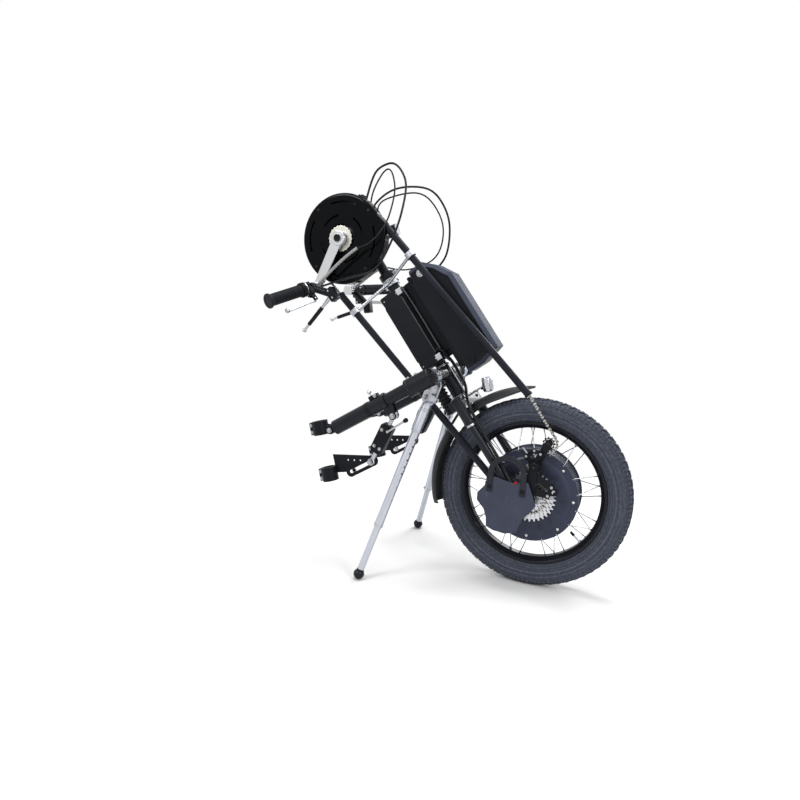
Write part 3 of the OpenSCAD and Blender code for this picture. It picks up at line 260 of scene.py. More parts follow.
@dataclass(frozen=True)
class Finish:
    """A surface with mottling, scuffs and a fine skin.

    Attributes:
        name: the material's name.
        slot: the record's material slot; it is not used.
        tint: the colour, in linear light.
        rough: the roughness.
        metal: how metallic it is.
        coat: the weight of the clear coat.
        grain: how many grains of the skin there are to a metre.
        depth: the height of the skin in metres.
        mottle: how far the colour wanders.
        scuff: the share of the surface that is scuffed.
        worn: what a scuff multiplies the colour by.
        shine: how strongly the bare surface mirrors, where half is plain plastic.
        glint: the tint of that mirror, a cool blue painted in to stand for cool light round the part.
    """

    name: str
    slot: str
    tint: Point
    rough: float
    metal: float = 0.0
    coat: float = 0.0
    grain: float = 900.0
    depth: float = 0.00006
    mottle: float = 0.3
    scuff: float = 0.1
    worn: float = 2.0
    shine: float = 0.12
    # a painted cool tint on every reflection, standing in for cool light
    glint: tuple[float, float, float, float] = (0.76, 0.87, 1.0, 1.0)

    def skin(self, graph: Graph) -> Value:
        """The height of the fine skin, from 0 to 1."""
        return graph.noise(self.grain, 3)

    def colour(self, graph: Graph) -> Value:
        """The colour before scuffs."""
        dark, pale = (shade(self.tint, 1 + way * self.mottle) for way in (-1, 1))
        return graph.mix(graph.noise(16, 4), dark, pale)

    def material(self) -> bpy.types.Material:
        """The material, made once.

        Returns:
            The material of this finish's name.
        """
        if self.name in bpy.data.materials:
            return bpy.data.materials[self.name]
        graph = Graph(bpy.data.materials.new(self.name))
        streak = graph.noise(70, 6, (1, 1, 0.35))
        mask = ((streak - (0.72 - 0.5 * self.scuff)) * 9).held() * 0.6
        drift = graph.noise(28, 5)
        rough = (drift - 0.5) * 0.16 + mask * 0.14 + self.rough
        skin = graph.mix(mask, self.colour(graph), shade(self.tint, self.worn))
        inputs = {
            "Base Color": skin,
            "Roughness": rough.held(),
            "Metallic": self.metal,
            "Coat Weight": self.coat,
            "Specular IOR Level": self.shine,
            "Specular Tint": self.glint,
            "Normal": graph.bump(self.skin(graph), self.depth, 0.7),
        }
        graph.close(graph.node("ShaderNodeBsdfPrincipled", {}, inputs))
        graph.owner.diffuse_color = shade(self.tint, 1)
        return graph.owner


@dataclass(frozen=True)
class Brushed(Finish):
    """Metal with fine lines along one direction."""

    along: Point = (1, 1, 0.03)

    def skin(self, graph: Graph) -> Value:
        """Long thin scratches."""
        return graph.noise(self.grain, 4, self.along)


@dataclass(frozen=True)
class Moulded(Finish):
    """Plastic or rubber with a pebbled mould skin."""

    def skin(self, graph: Graph) -> Value:
        """Pebbles with finer grain between them."""
        return graph.cells(self.grain) * 0.7 + graph.noise(self.grain * 2, 2) * 0.3


@dataclass(frozen=True)
class TyreRubber(Finish):
    """Tyre rubber with mould rings round the wheel, and pale blue-grey bands round it: partly dust, partly a
    painted sheen.
    """

    rings: float = 2100.0
    # pale blue-grey of the bands: partly dust, partly a painted sheen on the sidewall
    dust: Point = (0.145, 0.157, 0.19)

    def radius(self, graph: Graph) -> Value:
        """How far a point is from the wheel's axle, in metres."""
        spot = graph.spot((1, 0, 1), tuple(HUB * MM))
        return graph.node("ShaderNodeVectorMath", {"operation": "LENGTH"}, {0: spot}, 1)

    def skin(self, graph: Graph) -> Value:
        """Rings of the mould and the grain of the rubber."""
        return (self.radius(graph) * self.rings).sine() * 0.25 + graph.noise(self.grain, 4) * 0.5

    def colour(self, graph: Graph) -> Value:
        """Dark rubber with pale blue-grey, most of it in rings round the wheel: partly dust, partly a painted
        sheen.

        Args:
            graph: the material's nodes.

        Returns:
            The colour before scuffs.
        """
        inputs = {"W": self.radius(graph), "Scale": 190.0, "Detail": 4.0}
        rings = graph.node("ShaderNodeTexNoise", {"noise_dimensions": "1D"}, inputs)
        share = ((rings * 0.6 + graph.noise(130, 6) * 0.4 - 0.44) * 3.4).held() * 0.6
        return graph.mix(share, shade(self.tint, 0.7), shade(self.dust, 1))


@dataclass(frozen=True)
class Lens(Finish):
    """Fluted lamp glass over a bright reflector."""

    flutes: float = 1500.0

    def skin(self, graph: Graph) -> Value:
        """Upright flutes."""
        across = graph.node("ShaderNodeSeparateXYZ", {}, {0: graph.spot()}, 1)
        return (across * self.flutes).sine() * 0.5 + 0.5


# Most dark tints below lean to blue: partly their own colour, partly a painted cool sheen, most strongly on
# the drum.
BLACK = (0.0085, 0.0088, 0.0105)
FINE = 0.00002
TUBE_BLACK = Finish(
    "satin_black_tube", "dark_alloy", (0.009, 0.0095, 0.0125), 0.3, coat=0.14, grain=1500, worn=3
)
FORK_BLACK = Finish("fork_black", "dark_alloy", (0.009, 0.0097, 0.013), 0.26, coat=0.2, grain=1300, worn=3)
CAST_BLACK = Finish("cast_black", "dark_alloy", BLACK, 0.46, 0.2, grain=1100, depth=0.0001, worn=3.5)
# black drum lifted to blue-grey: partly its own colour, partly a painted cool sheen
DRUM_BLACK = Finish(
    "motor_drum_black", "dark_alloy", (0.031, 0.0345, 0.057), 0.38, coat=0.12, grain=1400, worn=2
)
RIM_BLACK = Finish("rim_black", "dark_alloy", (0.009, 0.009, 0.012), 0.3, coat=0.12, worn=3)
GUARD_BLACK = Finish(
    "guard_gloss_black", "gloss_black", (0.0026, 0.0026, 0.0028), 0.1, coat=0.06, grain=240,
    worn=2.5, shine=0.05,
)
BOX_BLACK = Moulded("controller_black", "dark_alloy", (0.009, 0.009, 0.0108), 0.48, grain=1500, worn=2)
PACK_BLACK = Moulded("battery_black", "black_plastic", BLACK, 0.42, grain=1200, depth=0.00003, worn=2)
# paler blue-grey for the battery's chamfers and front face: a painted reflection of the light falling on them
PACK_PAINTED_REFLECTION = Moulded(
    "battery_edge_grey", "black_plastic", (0.04, 0.046, 0.068), 0.62, grain=1500, depth=FINE / 10,
    mottle=0.1, scuff=0.02, worn=1.2, shine=0.07,
)
TUBE_PLASTIC = Moulded(
    "chain_tube_plastic", "black_plastic", (0.0125, 0.0135, 0.018), 0.34, grain=900, worn=2.5
)
APRON_GREY = Moulded("apron_grey", "black_plastic", (0.047, 0.051, 0.075), 0.62, grain=1300, depth=0.00012)
STRAP_GREY = Moulded("strap_grey", "black_plastic", (0.022, 0.023, 0.027), 0.6, grain=1500)
FENDER_GREY = Moulded("fender_grey", "black_plastic", (0.03, 0.0305, 0.033), 0.5, grain=1100, depth=0.0001)
HARD_BLACK = Moulded("hard_black_plastic", "black_plastic", (0.0085, 0.0085, 0.01), 0.38, grain=1500)
GRIP_RUBBER = Moulded("grip_rubber", "black_plastic", (0.013, 0.0135, 0.016), 0.6, grain=1300, depth=0.0002)
SOFT_RUBBER = Moulded("soft_rubber", "rubber", (0.0105, 0.0105, 0.0125), 0.55, grain=1400, depth=0.0001)
BALL_RUBBER = Finish("ball_foot_rubber", "rubber", (0.006, 0.006, 0.007), 0.22, coat=0.25, grain=800)
CABLE_BLACK = Finish("cable_sheath", "rubber", (0.0085, 0.0085, 0.01), 0.36, coat=0.12, grain=2600)
TYRE = TyreRubber("tyre_rubber", "tyre", (0.055, 0.061, 0.083), 0.68, grain=1500, depth=0.00025, worn=1.6)
ALLOY = Brushed(
    "satin_alloy", "aluminium", (0.47, 0.48, 0.51), 0.34, 1.0, mottle=0.08, worn=0.8, depth=FINE
)
LEG_ALLOY = Brushed(
    "leg_alloy", "aluminium", (0.52, 0.535, 0.585), 0.38, 1.0, mottle=0.06, worn=0.85, depth=FINE
)
POLISHED = Finish(
    "polished_alloy", "aluminium", (0.6, 0.605, 0.62), 0.2, 1.0, mottle=0.06, worn=0.8, depth=FINE / 2
)
STEEL = Brushed("bright_steel", "steel", (0.4, 0.405, 0.42), 0.3, 1.0, mottle=0.1, worn=0.7, depth=FINE)
DARK_STEEL = Brushed(
    "black_steel", "steel", (0.03, 0.03, 0.033), 0.36, 0.8, mottle=0.2, worn=1.6, depth=FINE
)
CHAIN_STEEL = Finish("chain_steel", "steel", (0.5, 0.485, 0.45), 0.3, 1.0, mottle=0.35, scuff=0.3, worn=0.4)
SPROCKET_STEEL = Brushed(
    "sprocket_steel", "steel", (0.58, 0.585, 0.61), 0.28, 1.0, mottle=0.1, scuff=0.2, worn=0.6
)
CHROME = Finish(
    "chrome_plate", "chrome", (0.58, 0.59, 0.62), 0.16, 1.0, grain=300, mottle=0.04,
    depth=FINE / 2, worn=0.8,
)
LAMP_GLASS = Lens(
    "lamp_glass", "chrome", (0.52, 0.54, 0.57), 0.12, 0.6, coat=0.8, depth=0.0002, mottle=0.05
)
WARM_ALLOY = Brushed(
    "spider_alloy", "aluminium", (0.5, 0.485, 0.43), 0.38, 1.0, mottle=0.1, worn=0.8, depth=FINE
)
# grey of the mast wire's wrap, also used for a painted highlight strip along the controller's edge
WRAP_AND_PAINTED_HIGHLIGHT_GREY = Moulded("wire_wrap_grey", "rubber", (0.11, 0.112, 0.12), 0.5, grain=1600, worn=0.8)
DARK_LINK = Finish("inner_link_steel", "steel", (0.1, 0.098, 0.092), 0.42, 0.9, mottle=0.3, worn=1.6)
SLEEVE_GREY = Moulded("cable_sleeve_grey", "rubber", (0.3, 0.3, 0.295), 0.42, 0.3, grain=1600, worn=0.7)
RED_MARK = Moulded("red_wire", "rubber", (0.42, 0.012, 0.02), 0.45, grain=1500, worn=0.8)


def polar(radius: float, turn: float, centre: Flat = (0, 0)) -> Flat:
    """A flat point at a radius and an angle in radians from a centre."""
    return (centre[0] + radius * math.cos(turn), centre[1] + radius * math.sin(turn))


def spot_at(radius: float, degrees: float, y: float = 0.0) -> Point:
    """A point at a radius and an angle in X and Z, from a wheel's middle."""
    x, z = polar(radius, math.radians(degrees))
    return (x, y, z)


def circle(radius: float, count: int, centre: Flat = (0, 0)) -> Outline:
    """A round outline."""
    return [polar(radius, 2 * math.pi * i / count, centre) for i in range(count)]


def wavy(radius: float, height: float, waves: int, count: int) -> Outline:
    """A round outline with waves of that height on it."""
    turns = (2 * math.pi * i / count for i in range(count))
    return [polar(radius + height * math.cos(waves * turn), turn) for turn in turns]


def mirrored(half: list[Flat]) -> list[Flat]:
    """The other half of a profile, from where the first half ends."""
    return [(r, -h) for r, h in reversed(half)]


def link(p: Flat, q: Flat, r1: float, r2: float, steps: int = 12) -> Outline:
    """The outline of a flat link with round ends.

    Args:
        p: the middle of its first end.
        q: the middle of its second end.
        r1: the first end's radius.
        r2: the second end's radius.
        steps: how many stretches each round end has.

    Returns:
        Its points, counter-clockwise.
    """
    across, up = q[0] - p[0], q[1] - p[1]
    turn = math.atan2(up, across)
    square = math.pi / 2 - math.asin((r1 - r2) / math.hypot(across, up))
    ends = [(q, r2, turn - square, 2 * square), (p, r1, turn + square, 2 * math.pi - 2 * square)]
    return [
        polar(radius, start + sweep * i / steps, centre)
        for centre, radius, start, sweep in ends
        for i in range(steps + 1)
    ]


def toothed(root: float, tip: float, teeth: int) -> Outline:
    """The outline of a sprocket, from its radii between the teeth and at their tips."""
    shape = ((-0.5, root), (-0.3, root), (-0.11, tip), (0.11, tip), (0.3, root))
    return [polar(r, 2 * math.pi * (i + share) / teeth) for i in range(teeth) for share, r in shape]


def smooth(route: Sequence[Point], steps: int) -> list[Vector]:
    """A route's points with smooth ones between them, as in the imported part.

    Args:
        route: the points that it goes through.
        steps: how many stretches there are between two of them.

    Returns:
        The points of the smooth line.
    """
    points = [Vector(p) for p in route]
    last = len(points) - 1
    made = []
    for i in range(last):
        a, b, c, d = (points[min(max(i + k, 0), last)] for k in (-1, 0, 1, 2))
        square = 2 * a - 5 * b + 4 * c - d
        cube = 3 * b - a - 3 * c + d
        for t in (k / steps for k in range(steps)):
            made.append((2 * b + (c - a) * t + square * t**2 + cube * t**3) / 2)
    return [*made, points[-1]]


def unique(items: Iterable) -> list:
    """Items without repeats, in their order, so that each run is the same."""
    return list(dict.fromkeys(items))


class Shape:
    """One piece's mesh, grown by operators in millimetres in a frame of its own."""

    def __init__(self, finish: Finish, at: Matrix = PART) -> None:
        """Starts an empty shape.

        Args:
            finish: the finish of what is added first.
            at: the frame that its points are given in.
        """
        self.mesh = bmesh.new()
        self.at = at
        self.finishes = [finish]
        self.index = 0

    def use(self, finish: Finish) -> "Shape":
        """Chooses the finish of what is added next.

        Args:
            finish: that finish.

        Returns:
            The shape.
        """
        if finish not in self.finishes:
            self.finishes.append(finish)
        self.index = self.finishes.index(finish)
        return self

    def paint(self, faces: Iterable[bmesh.types.BMFace]) -> None:
        """Gives faces the finish in use."""
        for face in faces:
            face.material_index = self.index

    def since(self, before: set) -> list[bmesh.types.BMVert]:
        """The vertices that were not there before."""
        return [v for v in self.mesh.verts if v not in before]

    def loop(self, points: Iterable[Point]) -> tuple[list, list]:
        """New vertices at some points, and the edges of the loop through them."""
        verts = [self.mesh.verts.new(p) for p in points]
        return verts, [self.mesh.edges.new(pair) for pair in zip(verts, verts[1:] + verts[:1])]

    def grow(self, faces: list, depth: float) -> list[bmesh.types.BMVert]:
        """Extrudes faces along Y.

        Args:
            faces: the faces, which stay.
            depth: how far they are drawn out.

        Returns:
            The new vertices.
        """
        grown = bmesh.ops.extrude_face_region(self.mesh, geom=faces, use_keep_orig=True)["geom"]
        far = [g for g in grown if isinstance(g, bmesh.types.BMVert)]
        bmesh.ops.translate(self.mesh, vec=(0, depth, 0), verts=far)
        return far

    def settle(self, made: list, local: Matrix = PART, bevel: float = 0, segments: int = 2) -> None:
        """Puts new vertices in place, with the finish in use.

        Args:
            made: the new vertices.
            local: where they go in the shape's frame.
            bevel: the width of the bevel on their sharp edges, or zero.
            segments: the bevel's steps.
        """
        bmesh.ops.transform(self.mesh, matrix=self.at @ local, verts=made)
        faces = unique(f for v in made for f in v.link_faces)
        bmesh.ops.recalc_face_normals(self.mesh, faces=faces)
        self.paint(faces)
        if bevel:
            self.soften(faces, bevel, segments)

    def soften(self, faces: list, width: float, segments: int = 2) -> None:
        """Bevels the sharp edges of faces."""
        edges = unique(e for f in faces for e in f.edges if e.is_manifold)
        self.round([e for e in edges if e.calc_face_angle() > SHARP], width, segments)

    def round(self, edges: list, width: float, segments: int = 2) -> None:
        """Bevels edges.

        Args:
            edges: the edges.
            width: the bevel's width.
            segments: its steps.
        """
        bmesh.ops.bevel(
            self.mesh, geom=edges, offset=width, offset_type="OFFSET", affect="EDGES",
            segments=segments, profile=0.5, clamp_overlap=True, material=-1,
        )

    def box(self, low: Point, high: Point, bevel: float = 0.8, local: Matrix = PART) -> None:
        """A box between two corners.

        Args:
            low: its lowest corner.
            high: its highest corner.
            bevel: the width of the bevel on its edges.
            local: where it goes in the shape's frame.
        """
        middle = (Vector(low) + Vector(high)) / 2
        size = Vector(high) - Vector(low)
        made = bmesh.ops.create_cube(self.mesh, size=1.0)["verts"]
        self.settle(made, local @ moved(*middle) @ Matrix.Diagonal((*size, 1)), bevel)

    def rod(
        self, p: Point, q: Point, r0: float, r1: Optional[float] = None, sides: int = 24, bevel: float = 0
    ) -> None:
        """A round bar.

        Args:
            p: the middle of its first end.
            q: the middle of its second end.
            r0: the radius of its first end.
            r1: the radius of its second end, where it tapers.
            sides: how many sides it has.
            bevel: the width of the bevel on its ends, or zero.
        """
        start, end = Vector(p), Vector(q)
        span = end - start
        size = {"radius1": r0, "radius2": r0 if r1 is None else r1, "depth": span.length}
        made = bmesh.ops.create_cone(self.mesh, cap_ends=True, segments=sides, **size)["verts"]
        turn = Vector((0, 0, 1)).rotation_difference(span).to_matrix().to_4x4()
        self.settle(made, moved(*(start + end) / 2) @ turn, bevel)

    def ball(self, centre: Point, radius: float, flat: float = 1.0, sides: int = 16) -> None:
        """A ball.

        Args:
            centre: its middle.
            radius: its radius.
            flat: the share of its height along Z that is left.
            sides: how many sides it has.
        """
        size = {"u_segments": sides, "v_segments": sides // 2 + 2, "radius": radius}
        made = bmesh.ops.create_uvsphere(self.mesh, **size)["verts"]
        self.settle(made, moved(*centre) @ Matrix.Diagonal((1, 1, flat, 1)))

    def lathe(
        self, profile: Outline, steps: int = 64, sweep: float = WHOLE_TURN, local: Matrix = PART
    ) -> list[bmesh.types.BMVert]:
        """Spins a closed profile about the local Z axis.

        Args:
            profile: pairs of radius and height.
            steps: the steps round the axis.
            sweep: how far it turns, in degrees.
            local: where the axis lies in the shape's frame.

        Returns:
            The new vertices.
        """
        verts, edges = self.loop((r, 0, h) for r, h in profile)
        before = set(self.mesh.verts) - set(verts)
        whole = sweep == WHOLE_TURN
        bmesh.ops.spin(
            self.mesh, geom=verts + edges, cent=(0, 0, 0), axis=(0, 0, 1), dvec=(0, 0, 0),
            angle=math.radians(sweep), steps=steps, use_merge=whole,
        )
        bmesh.ops.remove_doubles(self.mesh, verts=self.since(before), dist=SEAM_MERGE)
        made = self.since(before)
        if not whole:
            rims = unique(e for v in made for e in v.link_edges if e.is_boundary)
            bmesh.ops.holes_fill(self.mesh, edges=rims, sides=0)
        self.settle(made, local)
        return made

    def slab(self, outline: Outline, y0: float, y1: float, bevel: float = 0.8, segments: int = 2) -> None:
        """A plate with an outline in X and Z, from one Y to another.

        Args:
            outline: the outline's points.
            y0: one side of the plate.
            y1: its other side.
            bevel: the width of the bevel round it.
            segments: the bevel's steps.
        """
        verts = [self.mesh.verts.new((x, y0, z)) for x, z in outline]
        base = self.mesh.faces.new(verts)
        self.settle(verts + self.grow([base], y1 - y0), PART, bevel, segments)

    def ring(self, outer: Outline, inner: Outline, y0: float, y1: float) -> None:
        """A plate with a hole, from one Y to another.

        Args:
            outer: its outline in X and Z.
            inner: the hole's outline, of as many points.
            y0: one side of the plate.
            y1: its other side.
        """
        rims = [self.loop((x, y0, z) for x, z in outline)[1] for outline in (outer, inner)]
        faces = bmesh.ops.bridge_loops(self.mesh, edges=rims[0] + rims[1])["faces"]
        near = unique(v for f in faces for v in f.verts)
        self.settle(near + self.grow(faces, y1 - y0))

    def sheet(
        self, loops: Sequence[tuple[Outline, float]], wall: float, holes: Callable[[Vector], bool]
    ) -> None:
        """A pressed sheet through outlines of as many points, each at its own Y.

        Args:
            loops: the outlines from the inmost on, with their Y.
            wall: the thickness of the sheet.
            holes: tells whether a face with that middle is left out.
        """
        rows = [self.loop((x, y, z) for x, z in outline)[1] for outline, y in loops]
        faces = []
        for a, b in zip(rows, rows[1:]):
            faces += bmesh.ops.bridge_loops(self.mesh, edges=a + b)["faces"]
        gone = [f for f in faces if holes(f.calc_center_median())]
        bmesh.ops.delete(self.mesh, geom=gone, context="FACES")
        kept = [f for f in faces if f.is_valid]
        bmesh.ops.recalc_face_normals(self.mesh, faces=kept)
        before = set(self.mesh.verts) - {v for f in kept for v in f.verts}
        bmesh.ops.solidify(self.mesh, geom=kept, thickness=wall)
        self.settle(self.since(before))

    def repeat(self, count: int, centre: Vector, draw: Callable[[], object]) -> None:
        """Draws something and repeats it round a wheel.

        Args:
            count: how often it is there in all.
            centre: a point on the wheel's axle, in the part's frame.
            draw: draws it once.
        """
        before = set(self.mesh.faces)
        draw()
        faces = [f for f in self.mesh.faces if f not in before]
        edges = unique(e for f in faces for e in f.edges)
        verts = unique(v for f in faces for v in f.verts)
        steps = count - 1
        bmesh.ops.spin(
            self.mesh, geom=[*faces, *edges, *verts], cent=centre, axis=AXLE_LINE, dvec=(0, 0, 0),
            angle=2 * math.pi * steps / count, steps=steps, use_duplicate=True,
        )

    def node(self, name: str, bevel: float, at: Matrix = PART) -> "Shape":
        """A merged copy of a CAD node's mesh, with its sharp edges broken.

        Args:
            name: the node.
            bevel: the width of the bevel on its sharp edges.
            at: the frame of what is added next.

        Returns:
            The shape.
        """
        before = set(self.mesh.verts)
        self.mesh.from_mesh(frame["nodes"][name].data)
        made = self.since(before)
        bmesh.ops.scale(self.mesh, vec=(1 / MM,) * 3, verts=made)
        bmesh.ops.remove_doubles(self.mesh, verts=made, dist=CAD_MERGE)
        made = self.since(before)
        edges = unique(e for v in made for e in v.link_edges)
        bmesh.ops.dissolve_limit(self.mesh, angle_limit=LEVEL, verts=made, edges=edges)
        faces = unique(f for v in self.since(before) for f in v.link_faces)
        self.paint(faces)
        self.soften(faces, bevel)
        self.at = at
        return self

    def hex_bolt(self, base: Point, out: Point, radius: float, height: float) -> None:
        """A bolt head: a washer, a six-sided head and its socket's dimple.

        Args:
            base: where it sits.
            out: the way that it looks.
            radius: the head's radius.
            height: the head's height.
        """
        foot, way = Vector(base), Vector(out).normalized() * height
        self.rod(foot, foot + way * 0.25, radius * 1.35, sides=20)
        self.rod(foot, foot + way, radius, sides=6, bevel=0.3)
        self.rod(foot + way * 0.9, foot + way * 1.15, radius * 0.55, radius * 0.35, 10)

    def bolt_pair(self, middle: Point, half: float, radius: float, height: float) -> None:
        """Two bolt heads that look away from a middle point along Y, each half their gap from it."""
        for way in (NEAR, FAR):
            self.hex_bolt(Vector(middle) + Vector(way) * half, way, radius, height)

    def object(self, name: str) -> bpy.types.Object:
        """The finished mesh as an object at the origin, in metres.

        Args:
            name: the piece's name.

        Returns:
            The object.
        """
        bmesh.ops.transform(self.mesh, matrix=Matrix.Scale(MM, 4), verts=self.mesh.verts)
        data = bpy.data.meshes.new(name)
        self.mesh.to_mesh(data)
        self.mesh.free()
        data.shade_smooth()
        data.set_sharp_from_angle(angle=CREASE)
        obj = dressed(name, data, self.finishes)
        even = obj.modifiers.new("even_shading", "WEIGHTED_NORMAL")
        even.keep_sharp = True
        return obj

    def piece(self, name: str, body: str, *nodes: str) -> None:
        """Finishes the shape as a piece that rides on a CAD body and stands for some of its nodes."""
        report(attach(self.object(name), body), body, nodes)


def dressed(name: str, data: bpy.types.Mesh, finishes: Sequence[Finish]) -> bpy.types.Object:
    """Makes an object of a mesh and gives it its finishes.

    Args:
        name: the object's name.
        data: its mesh.
        finishes: its finishes.

    Returns:
        The object.
    """
    for finish in finishes:
        data.materials.append(finish.material())
    obj = bpy.data.objects.new(name, data)
    bpy.context.scene.collection.objects.link(obj)
    return obj


def report(obj: bpy.types.Object, where: str, nodes: Sequence[str]) -> None:
    """Hides the nodes that a piece stands for and logs the piece.

    Args:
        obj: the piece.
        where: what it follows.
        nodes: the CAD nodes that it stands for.
    """
    if nodes:
        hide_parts(*nodes)
    LOG.info("%s on %s: %d faces", obj.name, where, len(obj.data.polygons))


@dataclass
class Cord:
    """A cable along a route, with ribs or a wrap where it has them.

    Attributes:
        name: the piece's name.
        route: its points in millimetres.
        diameter: its thickness.
        finish: its finish.
        steps: smooth points to each stretch of the route.
        rib: the pitch of its ribs along it, or zero.
        ease: how many times its bends are eased.
        pitch: the distance between its points.
        groove: the share of its thickness that is left between two ribs.
    """

    name: str
    route: Sequence[Point]
    diameter: float
    finish: Finish = CABLE_BLACK
    steps: int = 10
    rib: float = 0.0
    ease: int = 0
    pitch: float = 3.0
    groove: float = 0.86

    def build(self) -> bpy.types.Object:
        """Returns:
            The cord, which rides on nothing yet.
        """
        points = self.even(smooth(self.route, self.steps), self.rib / 4 or self.pitch)
        for _ in range(self.ease):
            eased = [(a + 2 * b + c) / 4 for a, b, c in zip(points, points[1:], points[2:])]
            points = [points[0], *eased, points[-1]]
        curve = bpy.data.curves.new(self.name, "CURVE")
        curve.dimensions = "3D"
        curve.bevel_depth = self.diameter / 2 * MM
        curve.bevel_resolution = 4
        curve.use_fill_caps = True
        line = curve.splines.new("POLY")
        line.points.add(len(points) - 1)
        for i, (spot, p) in enumerate(zip(line.points, points)):
            spot.co = (*(p * MM), 1)
            spot.radius = self.groove if self.rib and i % 4 == 3 else 1.0
        swept = bpy.data.objects.new(self.name + "_line", curve)
        bpy.context.scene.collection.objects.link(swept)
        bpy.context.view_layer.update()
        graph = bpy.context.evaluated_depsgraph_get()
        data = bpy.data.meshes.new_from_object(swept.evaluated_get(graph))
        bpy.data.objects.remove(swept)
        bpy.data.curves.remove(curve)
        data.name = self.name
        data.materials.clear()
        data.shade_smooth()
        obj = dressed(self.name, data, [self.finish])
        path = [tuple(p * MM) for p in points]
        length = sum((b - a).length for a, b in zip(points, points[1:])) * MM
        LOG.info("%s is %.3f m long", self.name, length)
        return (obj, self.diameter * MM)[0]

    @staticmethod
    def even(points: list[Vector], pitch: float) -> list[Vector]:
        """Points along a line at an even pitch.

        Args:
            points: the line's own points.
            pitch: the distance between two of the new ones.

        Returns:
            The new points, with the line's two ends.
        """
        made, walked, wanted = [points[0]], 0.0, pitch
        for a, b in zip(points, points[1:]):
            span = (b - a).length
            while span and wanted <= walked + span:
                made.append(a.lerp(b, (wanted - walked) / span))
                wanted += pitch
            walked += span
        if (made[-1] - points[-1]).length <= pitch / 3:
            made.pop()
        return [*made, points[-1]]


